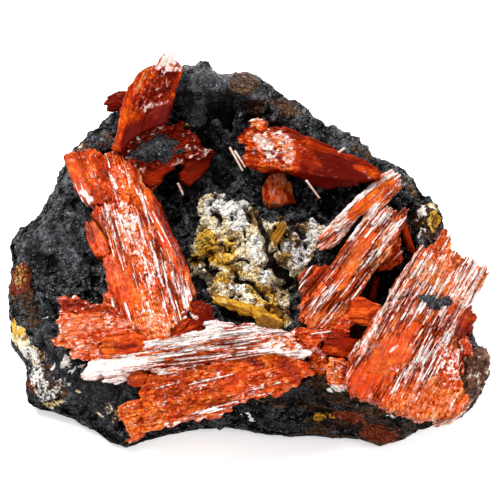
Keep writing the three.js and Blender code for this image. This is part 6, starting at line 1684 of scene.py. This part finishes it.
        ((-1.73, 10.56, 18.66), (0.9701, -0.2356, 0.0576), (0.1777, 0.8522, 0.4920), (-0.1650, -0.4671, 0.8687), 5.0, dict(base=dict(pale=0.05, deep=0.72, grit=0.1, flat=0.85), laths=0.25, facets=[(8.27, -1.98, 15.94, -1.81, 42, -1), (8.02, 2.31, 15.97, 0.95, 30, 1)], zones=[
            ("pale", 3.23, 0.82, 6.47, 0.60, 2.21, 0.72),
            ("pale", 1.21, 0.21, 2.31, -1.44, 1.17, 0.25),
            ("grit", 1.68, 0.55, 6.47, 0.60, 2.99, 0.95),
            ("flat", 1.68, 0.55, 6.47, 0.60, 2.99, 0.0),
            ("deep", 3.23, 0.82, 6.47, 0.60, 2.60, -0.2),
            ("deep", 0.95, 0.16, 2.31, -1.44, 1.30, 0.0),
            ("pale", 1.35, -0.56, 3.65, -1.47, 1.17, 0.2),
            ("deep", 1.44, -1.07, 3.65, -1.47, 1.17, 0.0),
            ("pale", 7.57, 1.84, 7.83, -1.00, 0.52, 0.5),
            ("deep", 8.03, 1.53, 8.31, -1.44, 0.52, 0.15),
            ("flat", 7.90, 1.51, 8.13, -1.21, 0.65, 0.8),
            ("deep", 6.83, 3.03, 8.21, 2.74, 0.91, 0.5),
            ("pale", 6.29, 3.06, 7.95, 2.70, 0.78, 0.15),
            ("pale", 3.77, 2.23, 5.93, 2.08, 0.78, 0.8),
            ("pale", 3.70, 1.17, 4.59, -0.78, 0.52, 0.95),
            ("pale", 6.38, 1.11, 7.22, -0.58, 0.52, 0.85),
            ("deep", 4.41, 0.24, 6.14, -0.51, 0.65, 0.5),
            ("grit", 16.57, 0.53, 18.60, -0.43, 0.91, 0.4),
            ("deep", 15.71, 0.90, 18.55, -0.17, 0.91, 0.35),
            ("pale", 17.02, -0.44, 17.92, -1.07, 0.26, 0.7),
            ("deep", 8.88, -2.39, 15.50, -2.28, 0.52, 1.0),
            ("deep", 12.37, 0.32, 16.08, -1.13, 1.56, 1.0),
            ("deep", 8.79, 1.00, 10.76, -1.02, 1.04, 0.35),
            ("deep", 8.89, 1.94, 15.15, 1.06, 0.46, 0.25),
            ("deep", 15.90, -0.12, 18.34, -0.47, 0.65, 0.1),
            ("deep", 11.11, -1.48, 14.94, -2.12, 0.52, 0.8),
        ]), [
             (1.08, 0.19), (0.96, -0.63), (1.15, -1.65), (1.94, -2.30), (3.30, -2.45), (4.66, -2.61),
             (5.88, -2.00), (7.24, -2.16), (8.62, -2.44), (9.75, -2.77), (11.15, -3.18), (12.48, -3.21),
             (13.96, -2.55), (15.78, -2.36), (16.33, -1.74), (17.46, -1.41), (18.69, -0.94), (18.74, 0.25),
             (17.19, 0.77), (15.92, 1.20), (14.18, 1.29), (12.80, 1.57), (11.38, 2.11), (9.31, 2.54),
             (7.93, 2.82), (6.78, 3.28), (5.44, 3.31), (3.89, 3.04), (2.91, 2.61), (1.07, 2.42),
             (0.65, 1.82), (0.25, 1.09), (-0.18, 0.49),
        ]),
    ],
    "round_gem": [
        ((2.77, 5.96, 13.97), (0.2407, 0.9608, 0.1374), (-0.9661, 0.2236, 0.1291), (0.0933, -0.1638, 0.9821), 3.6, dict(base=dict(pale=0.26, deep=-0.12, grit=0.5, flat=0.4), laths=0.0, facets=[(3.67, -0.12, 0.08, -1.28, 38, 1), (3.04, 0.53, -0.45, 0.07, 34, -1), (1.57, 1.11, 3.25, -1.71, 30, -1)], zones=[
            ("pale", 3.32, 0.06, 0.78, -0.16, 0.31, 0.75),
            ("pale", 3.04, -0.95, 1.61, -1.04, 0.26, 0.5),
            ("deep", 1.55, -1.86, 0.96, -2.81, 0.52, 0.25),
            ("deep", 1.30, 1.04, 0.02, 0.45, 0.33, 0.3),
        ]), [
             (-0.32, 0.64), (-0.78, -0.28), (0.05, -1.15), (0.54, -2.37), (1.37, -3.25), (2.48, -2.03),
             (3.52, -1.10), (3.73, 0.16), (2.46, 1.06), (1.26, 1.17),
        ]),
    ],
    "top_speck": [
        ((-0.26, 14.14, 18.02), (0.9613, -0.0621, 0.2686), (-0.0834, 0.8630, 0.4983), (-0.2627, -0.5014, 0.8244), 2.0, dict(base=dict(pale=0.35, deep=0.0, grit=0.6, flat=0.2), zones=[
        ]), [
             (0.10, -0.40), (1.84, -0.69), (1.90, 0.09), (1.13, 0.55), (0.17, 0.37),
        ]),
    ],
    "box_prism": [
        ((12.45, -11.53, 14.04), (0.9976, 0.0543, -0.0419), (-0.0262, 0.8657, 0.4998), (0.0634, -0.4976, 0.8651), 3.8, dict(base=dict(pale=0.08, deep=0.06, grit=0.1, flat=0.98), zones=[
            ("deep", 0.38, 1.04, 3.21, 0.96, 0.52, 0.3),
            ("deep", 3.17, -0.58, 4.21, -0.09, 0.65, 0.5),
            ("pale", 1.13, 0.25, 1.90, -0.03, 0.20, 0.8),
        ]), [
             (-0.31, -0.74), (0.58, -1.28), (1.86, -1.44), (3.14, -1.73), (4.19, -0.86), (4.73, 0.15),
             (3.97, 0.68), (2.45, 1.49), (1.30, 1.78), (0.39, 1.29), (-0.29, 0.03),
        ]),
    ],
    "red_dome": [
        ((9.49, -16.74, 14.45), (0.9994, 0.0346, 0.0000), (-0.0299, 0.8656, 0.4998), (0.0173, -0.4995, 0.8662), 3.8, dict(base=dict(pale=0.04, deep=0.34, grit=0.1, flat=0.85), dome=0.7, zones=[
            ("pale", 0.76, 1.80, 3.32, 2.23, 0.39, 0.6),
            ("deep", 0.68, -0.75, 3.22, -1.08, 0.52, 0.05),
        ]), [
             (0.67, -1.00), (2.19, -1.56), (3.21, -1.34), (4.13, -0.60), (3.79, 0.69), (2.80, 1.74),
             (1.78, 1.90), (0.75, 1.42), (-0.05, 0.55), (-0.33, -0.46),
        ]),
    ],
    "inner_block": [
        ((5.66, -15.65, 14.07), (0.9922, 0.1149, 0.0484), (-0.1237, 0.8594, 0.4962), (0.0154, -0.4983, 0.8669), 3.4, dict(base=dict(pale=0.28, deep=0.1, grit=0.85, flat=0.0), zones=[
            ("pale", 2.59, -1.58, 4.27, -2.56, 0.52, 0.7),
            ("deep", 3.41, 0.89, 4.62, 0.22, 0.52, 0.4),
        ]), [
             (0.53, -0.55), (1.93, -1.76), (1.55, -2.74), (1.67, -3.78), (2.35, -4.51), (3.27, -5.40),
             (3.42, -4.26), (4.00, -2.66), (3.07, -1.90), (3.60, -0.68), (4.60, 0.10), (5.69, 0.60),
             (6.82, 0.33), (7.58, 1.27), (6.91, 2.12), (5.50, 1.14), (4.19, 0.92), (2.64, 0.86),
             (0.90, 1.33), (-0.32, 0.84),
        ]),
    ],
    "lower_block": [
        ((10.03, -19.65, 13.99), (0.9750, -0.2224, 0.0000), (0.1938, 0.8496, 0.4905), (-0.1091, -0.4782, 0.8714), 3.2, dict(base=dict(pale=0.42, deep=0.05, grit=0.85, flat=0.0), zones=[
            ("pale", 0.59, -2.21, 2.39, -2.11, 0.39, 0.9),
            ("deep", 1.85, 0.63, 2.70, -1.01, 0.39, 0.5),
        ]), [
             (-0.18, -0.29), (0.27, -1.89), (1.62, -2.14), (3.17, -2.09), (2.65, -0.76), (2.38, 1.26),
             (1.47, 1.21), (0.02, 1.31),
        ]),
    ],
    "side_shards": [
        ((27.17, -13.98, 12.16), (0.3197, 0.9388, 0.1287), (-0.9396, 0.2965, 0.1712), (0.1225, -0.1756, 0.9768), 3.0, dict(base=dict(pale=0.04, deep=0.45, grit=0.2, flat=0.6), zones=[
            ("deep", 1.81, 0.59, 2.79, -0.46, 0.65, 0.1),
        ]), [
             (0.11, -0.64), (0.79, -0.15), (2.03, -1.11), (2.75, -0.34), (3.59, -1.02), (3.73, 0.12),
             (4.30, 0.17), (3.10, 1.01), (1.01, 1.15), (-0.97, 0.65),
        ]),
    ],
    "lumpy_crystal": [
        ((26.99, -18.77, 12.58), (0.1983, 0.9756, 0.0938), (-0.9761, 0.1880, 0.1086), (0.0883, -0.1131, 0.9897), 3.0, dict(base=dict(pale=0.4, deep=0.35, grit=0.9, flat=0.0), zones=[
        ]), [
             (-0.76, -0.19), (0.43, 0.16), (1.85, 0.16), (2.53, -0.89), (3.15, -0.52), (4.11, 0.18),
             (3.05, 1.04),
        ]),
    ],
    "brown_knob": [
        ((28.33, -20.93, 10.22), (0.2911, 0.9223, 0.2543), (-0.9540, 0.2597, 0.1499), (0.0722, -0.2862, 0.9554), 3.6, dict(base=dict(pale=0.25, deep=0.25, grit=0.9, flat=0.0), zones=[
            ("pale", 1.45, 1.46, 2.25, -0.18, 0.33, 1.0),
            ("pale", 0.62, -0.66, 3.27, -1.22, 0.39, 0.6),
        ]), [
             (1.66, 1.66), (0.15, 0.81), (-0.82, -0.01), (0.25, -0.77), (1.86, -1.10), (3.60, -1.39),
             (4.32, -1.05), (5.53, -0.56), (5.93, 0.36), (5.52, 0.78), (4.90, 1.40), (4.04, 2.36),
        ]),
    ],
    "pale_shard": [
        ((24.02, -25.04, 9.99), (0.8633, 0.4868, -0.1328), (-0.3805, 0.8009, 0.4624), (0.3315, -0.3487, 0.8767), 1.6, dict(base=dict(pale=0.75, deep=0.1, grit=0.2, flat=0.0), zones=[
        ]), [
             (-0.07, -0.62), (1.36, -0.78), (2.90, -0.70), (4.09, -0.07), (5.07, 0.78), (3.70, 0.08),
             (2.44, -0.38), (0.83, -0.29), (-0.57, 0.26),
        ]),
    ],
    "side_knob": [
        ((17.25, -3.43, 12.65), (0.6828, 0.6925, 0.2328), (-0.7237, 0.5976, 0.3450), (0.0998, -0.4041, 0.9093), 3.0, dict(base=dict(pale=0.36, deep=0.15, grit=0.6, flat=0.2), zones=[
        ]), [
             (-0.64, -0.32), (0.08, -1.07), (1.37, -1.29), (2.87, -0.60), (3.55, 0.57), (2.82, 0.96),
             (1.61, 0.72), (-0.25, 0.40),
        ]),
    ],
    "ochre_band": [
        ((-5.05, -9.39, 14.06), (0.9090, -0.4124, -0.0607), (0.3921, 0.7967, 0.4600), (-0.1413, -0.4419, 0.8859), 2.2, dict(base=dict(pale=0.12, deep=0.1, grit=0.85, flat=0.3), drop=0.9, bevel=0.9, bite=0.5, zones=[
            ("deep", 7.61, -0.19, 10.06, 0.02, 0.78, 0.8),
            ("pale", 0.72, 0.10, 2.59, 0.33, 0.39, 0.5),
            ("deep", 2.17, 0.02, 5.44, 0.28, 0.26, 0.5),
        ]), [
             (2.32, -0.34), (4.25, -0.22), (5.88, -0.09), (7.58, -0.76), (8.78, -0.94), (9.97, -0.44),
             (9.97, 0.54), (8.74, 1.12), (7.34, 1.09), (5.85, 1.29), (4.50, 1.14), (2.44, 0.69),
             (0.57, 0.45), (0.19, 0.02),
        ]),
    ],
}

rng = np.random.default_rng(11)
made = {}
for name in PRISMS:
    look = dict(BASE)
    look.update(LOOKS.get(name, {}))
    mat = MATS[look.get("mat", "o")]
    parts = []
    for A, d, u, n, thick, st, rim in SLABS.get(name, []):
        parts.append(slab(A, d, u, n, rim, thick, st, len(name) * 7 + len(made)))
    for row in PRISMS[name]:
        st = dict(look)
        if len(row) > 9:
            st.update(row[9])
            row = row[:9]
        parts.append(prism(rng, *row, st))
    V, Q, T, at = merge(parts)
    ob = make_object("v_" + name, V, Q, T, mat, at)
    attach(ob, "root")
    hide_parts(name)
    made[name] = ob

NEEDLES = {
    "needle_1": ((-2.59, 10.17, 18.80), (-0.91, 8.14, 16.40), 0.16),
    "needle_2": ((-1.94, 9.59, 19.00), (-0.65, 7.90, 17.80), 0.14),
    "needle_3": ((7.23, 5.70, 18.20), (9.06, 4.39, 15.60), 0.15),
    "needle_4": ((11.35, 8.38, 20.50), (12.38, 9.05, 20.90), 0.15),
    "needle_5": ((-9.39, 8.41, 12.90), (-8.74, 7.34, 11.90), 0.15),
}
hexagon = [(math.cos(k * math.pi / 3), math.sin(k * math.pi / 3)) for k in range(6)][::-1]
for name, (a, b, r) in NEEDLES.items():
    V, Q, T, at = prism(rng, a, b, 2 * r, 2 * r, 0, 0, 0, hexagon[::-1], 0.8, dict(stri=0.01, tilt=0.05, ragged=0.15, pale=0.9, deep=0.0, ds=0.08, pitch=0.3))
    ob = make_object("v_" + name, V, Q, T, PALE, at)
    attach(ob, "root")
    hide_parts(name)

CRUSTS = {
    "crust_on_cross_prism": (1.7, (0.031, -0.488, 0.872), [
  [-16.41, 11.18, 15.13], [-15.89, 11.98, 15.56], [-14.59, 12.8, 15.97], [-13.29, 13.27, 16.19],
  [-12.25, 13.97, 16.55], [-10.94, 14.11, 16.57], [-9.64, 13.67, 16.29], [-8.34, 12.78, 15.74],
  [-8.21, 11.76, 15.17], [-9.12, 11.06, 14.81], [-10.42, 10.36, 14.46], [-12.24, 10.56, 14.64],
  [-13.55, 10.2, 14.48], [-15.11, 10.52, 14.71],
    ]),
    "crust_on_great_blade": (1.3, (0.210, -0.209, 0.955), [
  [20.98, -10.27, 15.51], [22.79, -9.55, 15.27], [24.33, -10.03, 14.83], [25.89, -9.34, 14.64],
  [26.53, -9.92, 14.37], [25.61, -11.07, 14.32], [24.45, -11.33, 14.52], [23.66, -12.2, 14.5],
  [22.51, -11.67, 14.87], [21.36, -11.15, 15.24],
    ]),
}
for name, (rise, facing, rim) in CRUSTS.items():
    V, Q, T, at = crust_piece(rng, rim, facing, rise)
    ob = make_object("v_" + name, V, Q, T, ROCK, at, smooth_faces=True)
    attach(ob, "root")
    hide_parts(name)

block = build_rock(ROCK)
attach(block, "root")
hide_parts("matrix")

# ------------------------------------------------------- floor, light and camera
floor_me = bpy.data.meshes.new("floor")
S = 1.5
floor_me.from_pydata([(-S, -S, 0), (S, -S, 0), (S, S, 0), (-S, S, 0)], [], [(0, 1, 2, 3)])
floor = bpy.data.objects.new("floor", floor_me)
bpy.context.scene.collection.objects.link(floor)
fm = bpy.data.materials.new("floor")
nt, bs = nodes_of(fm)
bs.inputs["Base Color"].default_value = (0.96, 0.96, 0.96, 1)
bs.inputs["Roughness"].default_value = 0.9
bs.inputs["Emission Color"].default_value = (1, 1, 1, 1)
bs.inputs["Emission Strength"].default_value = 0.40
floor_me.materials.append(fm)

world = bpy.data.worlds.new("world")
bpy.context.scene.world = world
world.use_nodes = True
bg = world.node_tree.nodes["Background"]
bg.inputs[0].default_value = (1.0, 1.0, 1.0, 1)
bg.inputs[1].default_value = 0.54


def area(name, direction, distance, size, power, colour=(1, 1, 1)):
    li = bpy.data.lights.new(name, "AREA")
    li.shape = "DISK"
    li.size = size
    li.energy = power
    li.color = colour
    ob = bpy.data.objects.new(name, li)
    v = Vector(direction).normalized() * distance
    ob.location = v + Vector((0, 0, 0.012))
    ob.rotation_euler = v.to_track_quat("Z", "Y").to_euler()
    bpy.context.scene.collection.objects.link(ob)
    return ob


area("key", (-0.42, 0.36, 0.83), 0.5, 0.26, 3.3)
area("fill", (0.80, -0.10, 0.6), 0.6, 0.34, 1.8)
area("front", (-0.25, -0.75, 0.75), 0.6, 0.26, 0.32)

cam_data = bpy.data.cameras.new("camera")
cam_data.sensor_width = 36.0
cam_data.lens = 343.4
cam_data.clip_start = 0.01
cam_data.clip_end = 20.0
cam = bpy.data.objects.new("camera", cam_data)
aim = Vector((SHIFT[0] / 1000, SHIFT[1] / 1000, 0.010))
back = Vector((0, -COS, SIN))
cam.location = aim + back * 0.620
cam.rotation_euler = back.to_track_quat("Z", "Y").to_euler()
bpy.context.scene.collection.objects.link(cam)
bpy.context.scene.camera = cam

vs = bpy.context.scene.view_settings
vs.view_transform = "Standard"
vs.look = "None"
vs.exposure = 0.0
